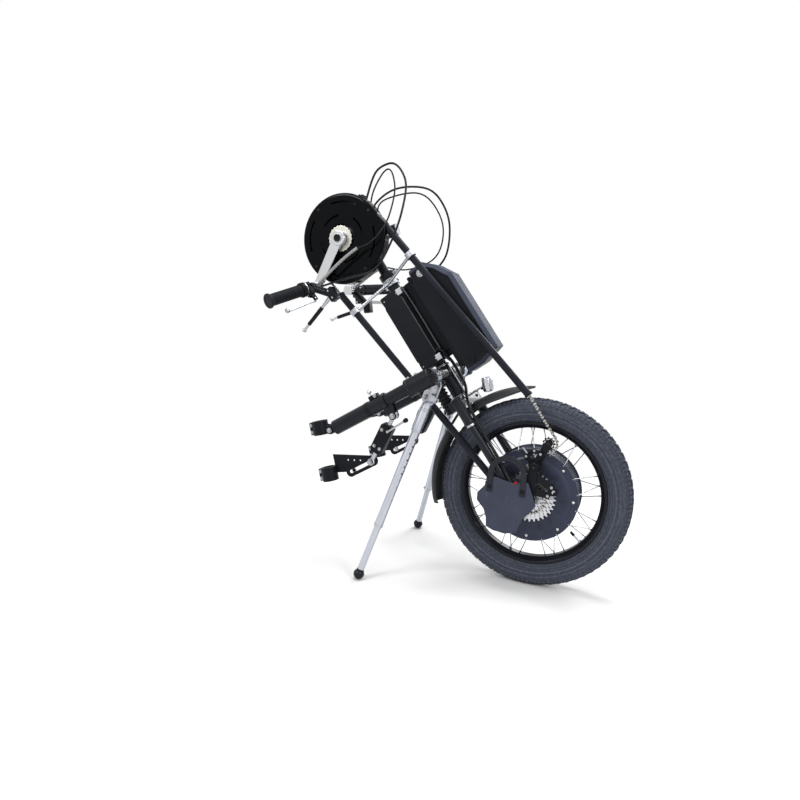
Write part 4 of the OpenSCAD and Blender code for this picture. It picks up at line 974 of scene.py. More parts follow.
@dataclass
class FrontWheel:
    """The motor wheel: tyre, rim, spokes, drum and disc.

    Attributes:
        bars: how many shoulder bars the tread has on each side.
        spokes: how many spokes there are.
        spoke_turn: how far each spoke leans round the wheel, in degrees.
        flange: the radius that the spokes leave the drum at.
        well: the radius that they reach the rim at.
        valve: the angle of the valve, in degrees.
    """

    bars: int = 132
    spokes: int = 36
    spoke_turn: float = 6.0
    flange: float = 129.3
    well: float = 182.7
    valve: float = -40.0

    def build(self) -> None:
        """Builds the wheel's pieces."""
        self.tyre()
        self.rim()
        self.spoke_set()
        self.drum()
        self.disc()

    def tyre(self) -> None:
        """Casing, shoulder bars and slanted centre blocks."""
        shape = Shape(TYRE, WHEEL)
        bead = [(201.4, 20), (204.5, 24.4), (207.5, 26.6), (211, 27.6)]
        wall = [(216, 30.2), (224, 32.4), (232, 33), (236, 33), (237, 33.7), (239, 33.6), (240, 32.2)]
        half = [*bead, *wall, (247, 30.2), (254, 26), (258.6, 18.8), (260.6, 10)]
        shape.lathe([*half, (261.2, 0), *mirrored(half)], 160)
        for side in (1, -1):
            bar = moved(254.4, 0, side * 22.6) @ turned(-side * 38, "Y")
            block = turned(side * 1.36, "Z") @ moved(261, 0, side * 6.6) @ turned(side * 32, "X")
            knob = turned(side * 2.7, "Z") @ moved(259.4, 0, side * 14.2) @ turned(-side * 18, "Y")
            lugs = (
                (self.bars, (-3.5, -4.3, -9.4), (2.9, 4.3, 8.8), 0.9, bar),
                (self.bars // 2, (-3.4, -8.4, -3.8), (3.6, 8.4, 3.8), 0.9, block),
                (self.bars // 2, (-3, -6.2, -2.3), (4, 6.2, 2.3), 0.8, knob),
            )
            for count, *lug in lugs:
                shape.repeat(count, HUB, lambda: shape.box(*lug))
        shape.piece("tyre_with_tread", "wheel", "tyre")

    def rim(self) -> None:
        """Deep rim with its valve."""
        shape = Shape(RIM_BLACK, WHEEL)
        half = [(183, 9), (183.6, 11), (188, 15), (193, 20.6), (195, 22), (200.4, 22), (201.2, 21.2)]
        shape.lathe([*half, *mirrored(half)], 144)
        shape.at = WHEEL @ turned(self.valve, "Z")
        shape.use(STEEL).rod((183.4, 0, 0), (158, 0, 0), 3.2, 2.8, 16)
        shape.rod((183, 0, 0), (179.6, 0, 0), 6.2, sides=6, bevel=0.4)
        shape.use(HARD_BLACK).rod((160, 0, 0), (147, 0, 0), 4.2, 3.4, 16, 0.7)
        shape.piece("rim_with_valve", "wheel", "rim")

    def spoke_set(self) -> None:
        """Spokes with their heads and nipples."""
        shape = Shape(STEEL, moved(*HUB))
        for i in range(self.spokes):
            side = 1 if i % 2 == 0 else -1
            start = 360 * i / self.spokes
            end = start + (self.spoke_turn if i // 2 % 2 == 0 else -self.spoke_turn)
            foot = Vector(spot_at(self.flange, start, side * 34.5))
            top = Vector(spot_at(self.well, end, side * 5))
            shape.rod(foot, top, 1.25, sides=10)
            shape.rod(top.lerp(foot, 0.16), top, 1.6, 2.1, 10)
            head = [spot_at(self.flange - 3.4, start, side * y) for y in (33, 38.6)]
            shape.rod(*head, 2.2, 1.5, 10)
            shape.ball(foot, 1.7, sides=8)
        shape.piece("spoke_set", "wheel", "spokes")

    def drum(self) -> None:
        """Motor drum with ribs, covers, cooling fins and cover bolts."""
        boss = [(9, 78), (16, 78), (16, 46), (31, 44.5), (33, 42.4)]
        cover = [(58, 40.6), (61, 41.9), (99, 41.9), (103.4, 40.9), (106.6, 38.4), (109.6, 37)]
        cover += [(127.6, 37), (129, 36), (129, 33), (127.6, 32), (123, 31)]
        rib = ((123, 3.2), (125.2, 2.3), (125.2, -2.3), (123, -3.2))
        ribs = [[(r, h + step) for r, step in rib] for h in (24.67, 12.33, 0, -12.33, -24.67)]
        tail = [(33, -42.4), (24, -43.4), (22, -44.6), (22, -50.9), (9, -50.9)]
        shape = Shape(DRUM_BLACK, WHEEL)
        shape.lathe([*boss, *cover, *sum(ribs, []), *mirrored(cover), *tail], 128)
        for side in (1, -1):
            shape.use(DRUM_BLACK)
            shape.repeat(16, HUB, lambda: shape.box((66, -1.6, side * 41), (96, 1.6, side * 43), 0.5))
            shape.use(POLISHED)
            shape.repeat(8, HUB, lambda: self.dome(shape, side))
        shape.piece("motor_drum", "wheel", "hub_motor")

    @staticmethod
    def dome(shape: Shape, side: int) -> None:
        """A domed cover bolt on one side of the drum."""
        shape.rod((115.6, 0, side * 36.6), (115.6, 0, side * 37.8), 3.6, sides=20)
        shape.ball((115.6, 0, side * 37.6), 2.9, 0.7)

    def disc(self) -> None:
        """Wavy brake disc on a spider with its bolts."""
        shape = Shape(STEEL, moved(*HUB))
        shape.ring(wavy(79, 1, 12, 144), wavy(62, -2.4, 12, 144), 51, 53)
        shape.repeat(6, HUB, lambda: shape.slab(link((25, -8), (63, 6), 5, 4), 51.2, 52.8, 0.3))
        shape.ring(circle(30, 60), circle(17, 60), 51, 53.6)
        shape.use(POLISHED)
        shape.repeat(6, HUB, lambda: shape.hex_bolt((23.5, 53.4, 0), FAR, 3.4, 3))
        shape.piece("brake_rotor", "wheel", "brake_disc")


@dataclass
class Sprockets:
    """The sprockets on the freehub and the axle with its nuts.

    Attributes:
        rows: how many sprockets there are.
        first: how far the largest sits from the middle.
        gap: the distance between two sprockets.
        driven: the row that the chain runs on.
        driven_r: the pitch radius of that row.
        step: the difference between two pitch radii.
    """

    rows: int = 7
    first: float = 46.0
    gap: float = 5.0
    driven: int = 3
    driven_r: float = 44.5
    step: float = 8.0

    def build(self) -> None:
        """Builds the cassette and the axle."""
        shape = Shape(SPROCKET_STEEL, moved(*HUB))
        for row in range(self.rows):
            pitch_r = self.driven_r + (self.driven - row) * self.step
            teeth = round(2 * math.pi * pitch_r / PITCH)
            root, tip = (-7.4, -4) if row == self.driven else (-4.4, 2.6)
            y = -self.first - row * self.gap
            outline = toothed(pitch_r + root, pitch_r + tip, teeth)
            shape.ring(outline, circle(19.4, teeth * 5), y - 0.9, y + 0.9)
        shape.at = WHEEL
        shape.lathe([(16.1, 45.2), (20, 45.2), (20, 76.4), (18.6, 78), (16.1, 78)], 48)
        shape.at = moved(*HUB)
        shape.use(STEEL).ring(toothed(15.4, 17, 20), circle(9, 100), -79.2, -77.2)
        shape.piece("sprocket_stack", "sprockets", "cassette")
        shape = Shape(STEEL, moved(*HUB))
        shape.rod((0, -99.2, 0), (0, 99.2, 0), 6.9, sides=32, bevel=0.8)
        for side in (1, -1):
            shape.rod((0, side * 88.1, 0), (0, side * 90.2, 0), 16.5, sides=36, bevel=0.4)
            shape.rod((0, side * 90, 0), (0, side * 97, 0), 13, sides=6, bevel=0.8)
        shape.piece("axle_with_nuts", "steer", "wheel_axle")


@dataclass
class ChainRun:
    """The chain's path round its five wheels, and its links.

    Attributes:
        y: the plane of the chain.
        wheels: the middle of each wheel, in X and Z, and its radius, below zero where the chain bends back.
        step: about how far apart the fine points along it lie.
    """

    y: float
    wheels: list[tuple[Vector, float]]
    step: float = 0.5

    def heading(self, i: int) -> float:
        """The angle of the run that leaves a wheel."""
        (a, r), (b, s) = self.wheels[i], self.wheels[(i + 1) % len(self.wheels)]
        return math.atan2(b.y - a.y, b.x - a.x) - math.asin((r - s) / (b - a).length)

    def touch(self, wheel: int, run: int) -> Vector:
        """Where a run meets a wheel.

        Args:
            wheel: the wheel's number.
            run: the number of the wheel that the run leaves.

        Returns:
            The point, in X and Z.
        """
        middle, radius = self.wheels[wheel]
        angle = self.heading(run)
        return middle + radius * Vector((-math.sin(angle), math.cos(angle)))

    def path(self) -> list[tuple[Vector, int]]:
        """Fine points along the chain.

        Returns:
            Each point with its stretch: 2i for the run that leaves wheel i, 2i + 1 for the turn after it.
        """
        made = []
        for i in range(len(self.wheels)):
            j = (i + 1) % len(self.wheels)
            a, b, c = self.touch(i, i), self.touch(j, i), self.touch(j, j)
            middle, radius = self.wheels[j]
            count = max(2, round((b - a).length / self.step))
            made += [(a.lerp(b, k / count), 2 * i) for k in range(count)]
            start = math.atan2(b.y - middle.y, b.x - middle.x)
            sweep = (math.atan2(c.y - middle.y, c.x - middle.x) - start) % (2 * math.pi)
            sweep -= 2 * math.pi if radius > 0 else 0
            count = max(2, round(abs(sweep * radius) / self.step))
            turns = (start + sweep * k / count for k in range(count))
            made += [(middle + abs(radius) * Vector((math.cos(t), math.sin(t))), 2 * i + 1) for t in turns]
        return made

    def pins(self) -> list[tuple[Vector, int]]:
        """The chain's pins at an even pitch.

        Returns:
            Each pin's place with its stretch.
        """
        path = self.path()
        spans = [(b[0] - a[0]).length for a, b in zip(path, path[1:] + path[:1])]
        count = 2 * round(sum(spans) / PITCH / 2)
        pitch = sum(spans) / count
        made, walked = [], 0.0
        for (spot, stretch), span in zip(path, spans):
            if walked >= len(made) * pitch - 1e-6 and len(made) < count:
                made.append((spot, stretch))
            walked += span
        return made

    def build(self) -> None:
        """Builds the links in pieces, by what each stretch follows."""
        pins = self.pins()
        groups = {
            "chain_ring_side": (0, 1, 7, 8, 9),
            "chain_upper_run": (2,),
            "chain_at_jockeys": (3, 4, 5),
            "chain_lower_run": (6,),
        }
        for name, stretches in groups.items():
            shape = Shape(CHAIN_STEEL)
            for i, (spot, stretch) in enumerate(pins):
                if stretch in stretches:
                    self.link(shape, spot, pins[(i + 1) % len(pins)][0], i % 2 == 0)
            obj = shape.object(name)
            if name == "chain_upper_run":
                self.follow(obj, self.touch(1, 1), self.touch(2, 1))
            elif name == "chain_lower_run":
                self.follow(obj, self.touch(3, 3), self.touch(4, 3))
            else:
                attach(obj, "cage" if name == "chain_at_jockeys" else "steer")
            report(obj, "the chain's path", ("chain",) if name == "chain_ring_side" else ())

    def follow(self, obj: bpy.types.Object, start: Vector, end: Vector) -> None:
        """Bakes a run's place into its mesh; it follows neither body at its ends."""
        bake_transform(obj)

    def link(self, shape: Shape, a: Vector, b: Vector, wide: bool) -> None:
        """One link: two plates, and a pin and a roller at its first end.

        Args:
            shape: what it is added to.
            a: its first pin, in X and Z.
            b: its second pin.
            wide: whether its plates are the outer ones.
        """
        way = (b - a).normalized()
        shape.at = axes(Vector((a.x, self.y, a.y)), Vector((way.x, 0, way.y)), Vector((-way.y, 0, way.x)))
        reach, half = (b - a).length, 3.3 if wide else 2.3
        shape.use(CHAIN_STEEL if wide else DARK_LINK)
        for side in (1, -1):
            near, far = side * half, side * (half - 0.9)
            for x in (0, reach):
                shape.slab(circle(3.9, 10, (x, 0)), near, far, 0)
            shape.slab(((0, -2.3), (reach, -2.3), (reach, 2.3), (0, 2.3)), near, far - side * 0.05, 0)
        shape.use(CHAIN_STEEL).rod((0, -3.5, 0), (0, 3.5, 0), 1.7, sides=10)
        shape.use(DARK_LINK).rod((0, -1.5, 0), (0, 1.5, 0), 3.6, sides=12)


@dataclass
class Derailleur:
    """The derailleur: hanger and knuckle, cage and the two jockey wheels.

    Attributes:
        y: the plane of the chain.
        teeth: how many teeth a jockey wheel has.
    """

    y: float = CHAIN_Y
    teeth: int = 11

    def build(self) -> None:
        """Builds the derailleur's pieces."""
        low, high = place("lower_jockey_spin"), place("upper_jockey_spin")
        self.knuckle(moved(low.x, 0, low.z))
        self.cage(moved(low.x, 0, low.z), high - low)
        for name, spot in (("lower", low), ("upper", high)):
            self.jockey(name, spot)

    def knuckle(self, pin: Matrix) -> None:
        """Hanger with its knuckle, and the linkage in front of the sprockets.

        Args:
            pin: the frame of the lower jockey's pin.
        """
        shape = Shape(CAST_BLACK).node("derailleur_body", 0.9, pin @ turned(90, "X"))
        shape.lathe([(4.7, 93.4), (11.4, 93.4), (10, 95.6), (6, 96.6), (4.7, 96.6)], 32)
        shape.at = pin
        shape.slab(link((0, 0), (-26, 22), 9, 7), -69.5, -76, 0.9)
        shape.slab(link((-26, 22), (-6, 40), 6, 6), -70, -74, 0.8)
        shape.slab(link((-2, 8), (12, 34), 5, 5), -76.5, -80, 0.8)
        shape.use(STEEL)
        for x, z, top in ((-26, 22, 77), (-6, 40, 75), (12, 34, 81), (-2, 8, 81)):
            shape.hex_bolt((x, -top + 1, z), NEAR, 2.6, 2.4)
        shape.use(DARK_STEEL).hex_bolt((0, -96, 0), NEAR, 4.4, 2.4)
        shape.use(STEEL).rod((-24, -73, 30), (-38, -73, 44), 2.6, 2.2, 12)
        shape.at = moved(*HUB)
        shape.use(HARD_BLACK).slab(link((9, 70), (62, 46), 11, 8.5), -81, -89.6, 1.6)
        shape.slab(link((6, 30), (54, 22), 12, 8), -81, -89.6, 1.6)
        shape.slab(link((54, 22), (62, 46), 5.4, 5.4), -83, -91, 1.2)
        shape.ring(circle(11.5, 40, (68, 34)), circle(6.4, 40, (68, 34)), -84.4, -88.4)
        shape.use(STEEL).rod((60, -87, 20), (76, -87, 12), 3.2, 2.6, 16, 0.5)
        for x, z in ((54, 22), (62, 46)):
            shape.hex_bolt((x, -90.6, z), NEAR, 2.8, 2)
        shape.piece("derailleur_knuckle", "steer", "derailleur_body")

    def cage(self, pin: Matrix, way: Vector) -> None:
        """Two cage plates with the pins of the jockey wheels.

        Args:
            pin: the frame of the lower jockey's pin.
            way: from there to the upper jockey's pin.
        """
        shape = Shape(HARD_BLACK, pin)
        for side in (1, -1):
            outline = link((0, 0), (way.x, way.z), 11, 10)
            shape.slab(outline, self.y + side * 4.5, self.y + side * 6.3, 0.4)
        shape.use(STEEL)
        for x, z in ((0, 0), (way.x, way.z)):
            shape.rod((x, self.y - 6.4, z), (x, self.y + 6.4, z), 2.4, sides=16)
            shape.hex_bolt((x, self.y + 6.2, z), FAR, 2.8, 1.6)
        shape.use(DARK_STEEL).hex_bolt((way.x, self.y - 6.2, way.z), NEAR, 3, 2)
        shape.rod((0, self.y - 6, 0), (0, -92, 0), 4.4, sides=20)
        shape.piece("derailleur_cage_plates", "cage", "derailleur_cage")

    def jockey(self, name: str, spot: Vector) -> None:
        """A toothed jockey wheel with windows and a bushing.

        Args:
            name: lower or upper.
            spot: a point on its axle.
        """
        axle = Vector((spot.x, self.y, spot.z))
        shape = Shape(HARD_BLACK, moved(*axle))
        shape.ring(toothed(14.4, 17.6, self.teeth), circle(12.2, self.teeth * 5), -1.5, 1.5)
        shape.ring(circle(6.4, 30), circle(2.7, 30), -1.9, 1.9)
        shape.repeat(5, axle, lambda: shape.box((5, -1.2, -1.3), (13, 1.2, 1.3), 0.3))
        shape.piece(f"jockey_wheel_{name}", f"{name}_jockey", f"jockey_{name}")


@dataclass
class Column:
    """What stands on the steering axis: fork, headset, mast, controller and battery.

    Attributes:
        blade_t: how far the blades stand ahead of the axis.
        blade_y: how far they stand from the middle.
        box_low: one corner of the controller, in the column's frame.
        box_high: its opposite corner.
        cap: the length of the controller's end caps.
        pack_t: how far the battery's back stands ahead of the axis.
        pack_s: how far up the column the battery starts.
        pack_half: half the battery's width.
        pack_side: the battery's outline, as depth and length.
        lock: the battery's lock, in the column's frame.
    """

    blade_t: float = 11.0
    blade_y: float = 84.0
    box_low: Point = (-38.0, -56.0, 442.0)
    box_high: Point = (24.0, -18.2, 688.0)
    cap: float = 28.0
    pack_t: float = 72.0
    pack_s: float = 374.0
    pack_half: float = 42.0
    pack_side: Outline = (
        (0, 0), (46.8, 0), (104, 16.75), (104, 258), (95.7, 271.4), (77, 304.9), (46.8, 335), (0, 335)
    )
    lock: Point = (101.1, 0.0, 683.0)

    def build(self) -> None:
        """Builds the column's pieces."""
        self.fork()
        self.mast()
        self.controller()
        self.rail()
        self.pack()
        self.key()

    def fork(self) -> None:
        """Fork with lips, rings and bolts, and the headset."""
        shape = Shape(FORK_BLACK).node("fork", 0.9, COLUMN)
        lip = [(14.8, 250), (16.4, 251), (16.4, 257), (14.8, 259)]
        cap = [(14.8, 322), (16.6, 323), (16.6, 328.6), (14, 330.4), (0.4, 331), (0.4, 326)]
        collar = [(11.9, 243), (13.2, 243.4), (13.2, 248.8), (11.9, 249.4)]
        for side in (1, -1):
            blade = moved(self.blade_t, side * self.blade_y, 0)
            for finish, profile in ((FORK_BLACK, lip), (FORK_BLACK, cap), (ALLOY, collar)):
                shape.use(finish).lathe(profile, 40, local=blade)
            shape.use(STEEL).hex_bolt((self.blade_t + 15, side * 62, 314), (1, 0, 0), 4, 4)
            shape.hex_bolt((self.blade_t, side * 62, 328), (0, 0, 1), 4, 3.4)
        shape.piece("fork_with_crown", "steer", "fork")
        shape = Shape(STEEL).node("headset_cups", 1, COLUMN)
        for height in (334.6, 433.8):
            seal = [(22.6, -1), (23.6, -1), (23.6, 1), (22.6, 1)]
            shape.use(SOFT_RUBBER).lathe(seal, 48, local=moved(0, 0, height))
        shape.piece("headset", "frame", "headset_cups")

    def mast(self) -> None:
        """Lower mast with its collar and upper mast with the crank housing."""
        shape = Shape(TUBE_BLACK).node("mast_tube", 0.8, COLUMN)
        shape.box((19, -7, 734), (33, 7, 750), 1.6)
        shape.use(STEEL).bolt_pair((27, 0, 742), 6.8, 4.2, 4)
        shape.use(ALLOY).lathe([(18.02, 752), (18.02, 728.4), (23.8, 728.4), (23.8, 731.4), (22, 732)], 48)
        shape.piece("mast_lower", "steer", "mast_tube")
        shape = Shape(TUBE_BLACK).node("mast_upper", 0.9, CRANK)
        shape.lathe([(10.2, -34.2), (23.4, -34.2), (24.4, -32.6), (24.4, -26), (23, -25), (10.2, -25)], 48)
        shape.use(STEEL).lathe([(10.2, -36.4), (18, -36.4), (18.6, -35), (18.6, -34), (10.2, -34)], 48)
        shape.piece("mast_upper_with_housing", "steer", "mast_upper")

    def controller(self) -> None:
        """Controller box with end caps, fins, screws and clips, and a pale strip along its front edge that is
        a painted highlight.
        """
        shape = Shape(BOX_BLACK, COLUMN)
        (x0, y0, z0), (x1, y1, z1) = self.box_low, self.box_high
        shape.box((x0 + 0.8, y0 + 0.8, z0 + 4), (x1 - 0.8, y1, z1 - 4), 2.4)
        cuts = [z0, z0 + self.cap, z1 - self.cap, z1]
        for a, b in zip(cuts, cuts[1:]):
            shape.box((x0, y0, a + 0.7), (x1, y1, b - 0.7), 2.6)
        for i in range(9):
            y = y0 + 5 + i * 3.6
            shape.box((x0 - 2.2, y - 0.8, cuts[1] + 6), (x0 + 2, y + 0.8, cuts[2] - 6), 0.5)
        for z in (z0 + 14, z1 - 14):
            shape.use(STEEL)
            for x in (x0 + 9, x1 - 9):
                shape.hex_bolt((x, y0 + 0.4, z), NEAR, 2, 1.4)
            shape.use(ALLOY).box((x1 - 8, y0 - 0.6, z - 9), (x1 + 9, y0 + 9, z + 9), 1.2)
        # a thin pale strip along the box's front edge: a painted highlight line
        shape.use(WRAP_AND_PAINTED_HIGHLIGHT_GREY)
        shape.box((x1 - 1, y0 - 0.3, cuts[1] + 3), (x1 + 0.4, y0 + 1.6, cuts[2] - 3), 0.3)
        shape.use(HARD_BLACK).rod((18, -38, z0 + 1), (18, -38, z0 - 7), 5.2, 4.4, 20, 0.6)
        shape.rod((x1 - 1, -38, 478), (x1 + 8, -38, 478), 6.6, 5.4, 20, 0.6)
        shape.piece("controller", "steer", "controller_box")

    def rail(self) -> None:
        """Battery rail with its cradle and bolts."""
        shape = Shape(TUBE_BLACK).node("battery_rail", 0.8, COLUMN)
        shape.use(HARD_BLACK).box((33, -15, 462), (self.pack_t - 9, 15, 690), 3)
        shape.box((14, -6, 468), (36, 8, 690), 2)
        shape.box((52, -22, 400), (self.pack_t - 9, 22, 700), 2.4)
        shape.use(STEEL)
        for z in (412, 470, 530, 590, 660):
            shape.hex_bolt((self.pack_t - 10.2, -14, z), (-1, 0, 0), 3.4, 2.6)
        shape.piece("battery_rail_plate", "steer", "battery_rail")

    def pack(self) -> None:
        """Battery with sunk side panels, the ring of its lock, and a painted reflection: paler grey on its
        chamfers and front face.
        """
        here = COLUMN @ moved(self.pack_t, 0, self.pack_s)
        shape = Shape(PACK_BLACK, here)
        shape.slab(self.pack_side, -self.pack_half, self.pack_half, 0)
        local = here.inverted()
        turn = local.to_3x3()
        sides = [f for f in shape.mesh.faces if abs((turn @ f.normal).y) > 0.9]
        edges = unique(e for f in sides for e in f.edges)
        shape.round([e for e in edges if self.chamfered(local, e)], 10.5, 1)
        ways = [(f, turn @ f.normal) for f in shape.mesh.faces]
        # the chamfers and the front face get the paler grey, a painted reflection of the light on them
        shape.use(PACK_PAINTED_REFLECTION).paint(f for f, way in ways if 0.3 < abs(way.y) < 0.95 or way.x > 0.5)
        inset = {"faces": [f for f, way in ways if abs(way.y) > 0.99], "use_even_offset": True}
        bmesh.ops.inset_region(shape.mesh, thickness=5, depth=0, **inset)
        bmesh.ops.inset_region(shape.mesh, thickness=1.2, depth=-1.4, **inset)
        shape.round([e for e in shape.mesh.edges if e.is_manifold and e.calc_face_angle() > 0.4], 0.7)
        shape.use(PACK_BLACK).box((2, -30, 331), (40, 30, 336.4), 2)
        shape.use(HARD_BLACK).box((8, -16, 333), (34, 16, 340), 3)
        shape.at = COLUMN @ moved(*self.lock) @ turned(90, "X")
        shape.use(STEEL).lathe([(7.2, 40.4), (11.4, 40.4), (11.4, 43), (10, 44.2), (7.2, 44.2)], 40)
        shape.at = here
        shape.use(HARD_BLACK).rod((30, -41, 26), (30, -44.6, 26), 7, sides=28, bevel=1)
        shape.piece("battery_pack", "pack", "battery")

    def key(self) -> None:
        """Lock barrel with its key."""
        shape = Shape(CHROME, COLUMN @ moved(*self.lock) @ turned(90, "X"))
        shape.lathe([(0.4, 33), (6.8, 33), (6.8, 44), (5.6, 45.2), (0.4, 45.2)], 32)
        shape.use(STEEL).box((-1.6, -5, 43), (1.6, 5, 48), 0.6)
        shape.piece("battery_lock", "key", "battery_key")

    @staticmethod
    def chamfered(local: Matrix, edge: bmesh.types.BMEdge) -> bool:
        """Whether an edge of the battery's sides is chamfered: all but the upright ones at its back."""
        a, b = (local @ v.co for v in edge.verts)
        return min(a.x, b.x) > 1 or abs(a.x - b.x) > 20


@dataclass
class CrankDrive:
    """Guard, chain tubes and their bracket, chainring and crank arms.

    Attributes:
        chain: the chain's path, which the tubes follow.
        teeth: how many teeth the chainring has.
        case_r: the guard's radius.
        nose: the guard's nose, as angles in degrees and radii.
        slots: the inner radius of each row of slots and the angle that its first slot starts at.
        slot_w: the width of a slot.
        sweep: the length of a slot, in degrees.
        arm_in: the distance from the middle to the arms' inner faces.
        arm_t: the arms' thickness.
    """

    chain: ChainRun
    teeth: int = 58
    case_r: float = 128.0
    nose: Outline = (
        (-24, 128), (-16, 131), (-10, 133), (2, 133.4), (10, 136),
        (16, 139.4), (20, 139), (25, 134), (32, 128),
    )
    slots: Outline = ((64, 10), (101, 62))
    slot_w: float = 5.0
    sweep: float = 50.0
    arm_in: float = 91.0
    arm_t: float = 15.0

    def build(self) -> None:
        """Builds the drive's pieces."""
        self.guard()
        self.tubes()
        self.ring()
        for side in Side:
            self.arm(side)

    def rim(self, inset: float) -> Outline:
        """The guard's outline: round, with a nose where the tubes leave.

        Args:
            inset: how far it is drawn in.

        Returns:
            Its points, counter-clockwise.
        """
        knots = [(-180.0, self.case_r), *self.nose, (180.0, self.case_r)]
        made = []
        for i in range(180):
            turn = 2 * i if i < 90 else 2 * i - 360
            (a, r), (b, q) = next((k, n) for k, n in zip(knots, knots[1:]) if k[0] <= turn <= n[0])
            reach = r + (q - r) * (turn - a) / (b - a) - inset
            made.append(polar(reach, math.radians(turn)))
        return made

    def slot(self, spot: Vector) -> bool:
        """Whether a spot on the guard's face lies in one of its arc slots.

        Args:
            spot: the spot, from the crank's axle.

        Returns:
            True in a slot.
        """
        radius, turn = math.hypot(spot.x, spot.z), math.degrees(math.atan2(spot.z, spot.x))
        rows = (start for r, start in self.slots if r < radius < r + self.slot_w)
        return any((turn - start) % 90 < self.sweep for start in rows)

    def guard(self) -> None:
        """Glossy guard with arc slots, a rolled edge, a lip round its eye, screws and a clip on top."""
        shape = Shape(GUARD_BLACK, moved(*CRANK_AXLE))
        radii = [42, *(r + step for r, _ in self.slots for step in (0, self.slot_w))]
        loops = [(circle(r, 180), -80.2) for r in radii]
        edge = ((9, -80), (5, -79.6), (2, -78.2), (0.6, -76), (0, -73), (0, -46.4), (1, -45.2), (3, -45))
        loops += [(self.rim(inset), y) for inset, y in edge]
        shape.sheet(loops, 2.4, self.slot)
        shape.at = CRANK
        shape.lathe([(41.6, 79.2), (42.4, 81), (45, 81.2), (46, 79.6)], 72)
        shape.at = moved(*CRANK_AXLE)
        shape.use(DARK_STEEL)
        for turn in (45, 135, 225, 315):
            shape.hex_bolt(spot_at(113, turn, -79.8), NEAR, 2.6, 1.6)
        shape.use(HARD_BLACK).box((-9, -76, 126), (9, -48, 132), 1.6, turned(24, "Y"))
        shape.box((-6, -66, 130), (6, -54, 135), 1.2, turned(24, "Y"))
        shape.piece("chain_case", "steer", "chain_guard")

    def tubes(self) -> None:
        """Two chain tubes with end lips, and the bracket that holds them."""
        runs = {"front": (0, 60, 0), "rear": (4, 104, 104)}
        for name, (run, first, last) in runs.items():
            shape = Shape(TUBE_PLASTIC).node(f"chain_tube_{name}", 0.6)
            a, b = self.chain.touch(run, run), self.chain.touch((run + 1) % 5, run)
            way = (b - a).normalized()
            along = Vector((way.x, 0, way.y))
            for spot, sign in ((a + way * first, 1), (b - way * last, -1)):
                shape.at = axes(Vector((spot.x, self.chain.y, spot.y)), sign * AXLE_LINE, sign * along)
                shape.lathe([(7.6, -0.4), (10.6, -0.4), (11.4, 0.6), (11.4, 6), (10, 7.4), (7.6, 7.4)], 36)
            shape.piece(f"chain_tube_{name}_sleeve", "steer", f"chain_tube_{name}")
        shape = Shape(ALLOY).node("tube_bracket", 0.8, COLUMN)
        shape.use(STEEL).hex_bolt((23.4, 0, 719.3), (1, 0, 0), 4, 3.4)
        shape.hex_bolt((-16.6, -16.6, 719.3), (-1, -1, 0), 4, 3.4)
        shape.piece("chain_tube_bracket", "steer", "tube_bracket")

    def ring(self) -> None:
        """Chainring with five arms on a silver spider, and the spindle."""
        shape = Shape(DARK_STEEL, moved(*CRANK_AXLE))
        shape.ring(toothed(108.6, 112.6, self.teeth), circle(98, self.teeth * 5), -62.5, -59.5)
        arm = link((28, 0), (102, 0), 13, 7)
        shape.repeat(5, CRANK_AXLE, lambda: shape.slab(arm, -66.6, -61, 0.8))
        shape.repeat(5, CRANK_AXLE, lambda: shape.hex_bolt((102, -66.4, 0), NEAR, 4.6, 2.4))
        shape.use(WARM_ALLOY).slab(wavy(36.4, 0.9, 20, 120), -82.4, -88.4, 1.2)
        shape.at = CRANK
        boss = [(10, 61), (39, 61), (40, 62), (40, 66), (37, 67.6), (30, 69), (28, 83), (20, 88)]
        shape.use(DARK_STEEL).lathe([*boss, (20, 90.6), (10, 90.6)], 72)
        shape.use(STEEL).lathe([(0.5, -108), (9, -108), (10, -107), (10, 107), (9, 108), (0.5, 108)], 48)
        shape.piece("chainring_with_spider", "crank", "chainring")

    def arm(self, side: Side) -> None:
        """Crank arm: round hub, narrow neck, round tip, black cap and pin.

        Args:
            side: the side that it is on.
        """
        k, hand = side.value, place(f"hand_turn_{side.word}")
        inner, outer = k * self.arm_in, k * (self.arm_in + self.arm_t)
        reach = Vector((hand.x - CRANK_AXLE.x, hand.z - CRANK_AXLE.z))
        shape = Shape(POLISHED, moved(*CRANK_AXLE))
        shape.slab(link((0, 0), tuple(reach), 16.5, 13.5, 16), inner + k * 1.6, outer - k * 1.8, 3.2, 4)
        shape.slab(circle(22, 56), inner, outer, 2.4, 3)
        shape.slab(circle(16.5, 48, tuple(reach)), inner, outer, 2.4, 3)
        shape.use(STEEL)
        shape.at = moved(hand.x, 0, hand.z)
        shape.rod((0, outer, 0), (0, k * 119, 0), 9, sides=32, bevel=1)
        shape.rod((0, outer, 0), (0, k * 146.6, 0), 6, sides=28, bevel=0.8)
        shape.at = moved(CRANK_AXLE.x, outer, CRANK_AXLE.z) @ turned(-90 * k, "X")
        cap = [(0.5, -0.4), (10.6, -0.4), (10.6, 2.4), (9.4, 3.4), (7, 3.2), (6, 2.4), (0.5, 2.4)]
        shape.use(HARD_BLACK).lathe(cap, 40)
        shape.use(STEEL).lathe([(10.6, -0.4), (13.4, -0.4), (13.2, 0.8), (10.6, 1)], 40)
        shape.piece(f"crank_arm_{side.word}_forged", "crank", f"crank_arm_{side.word}")


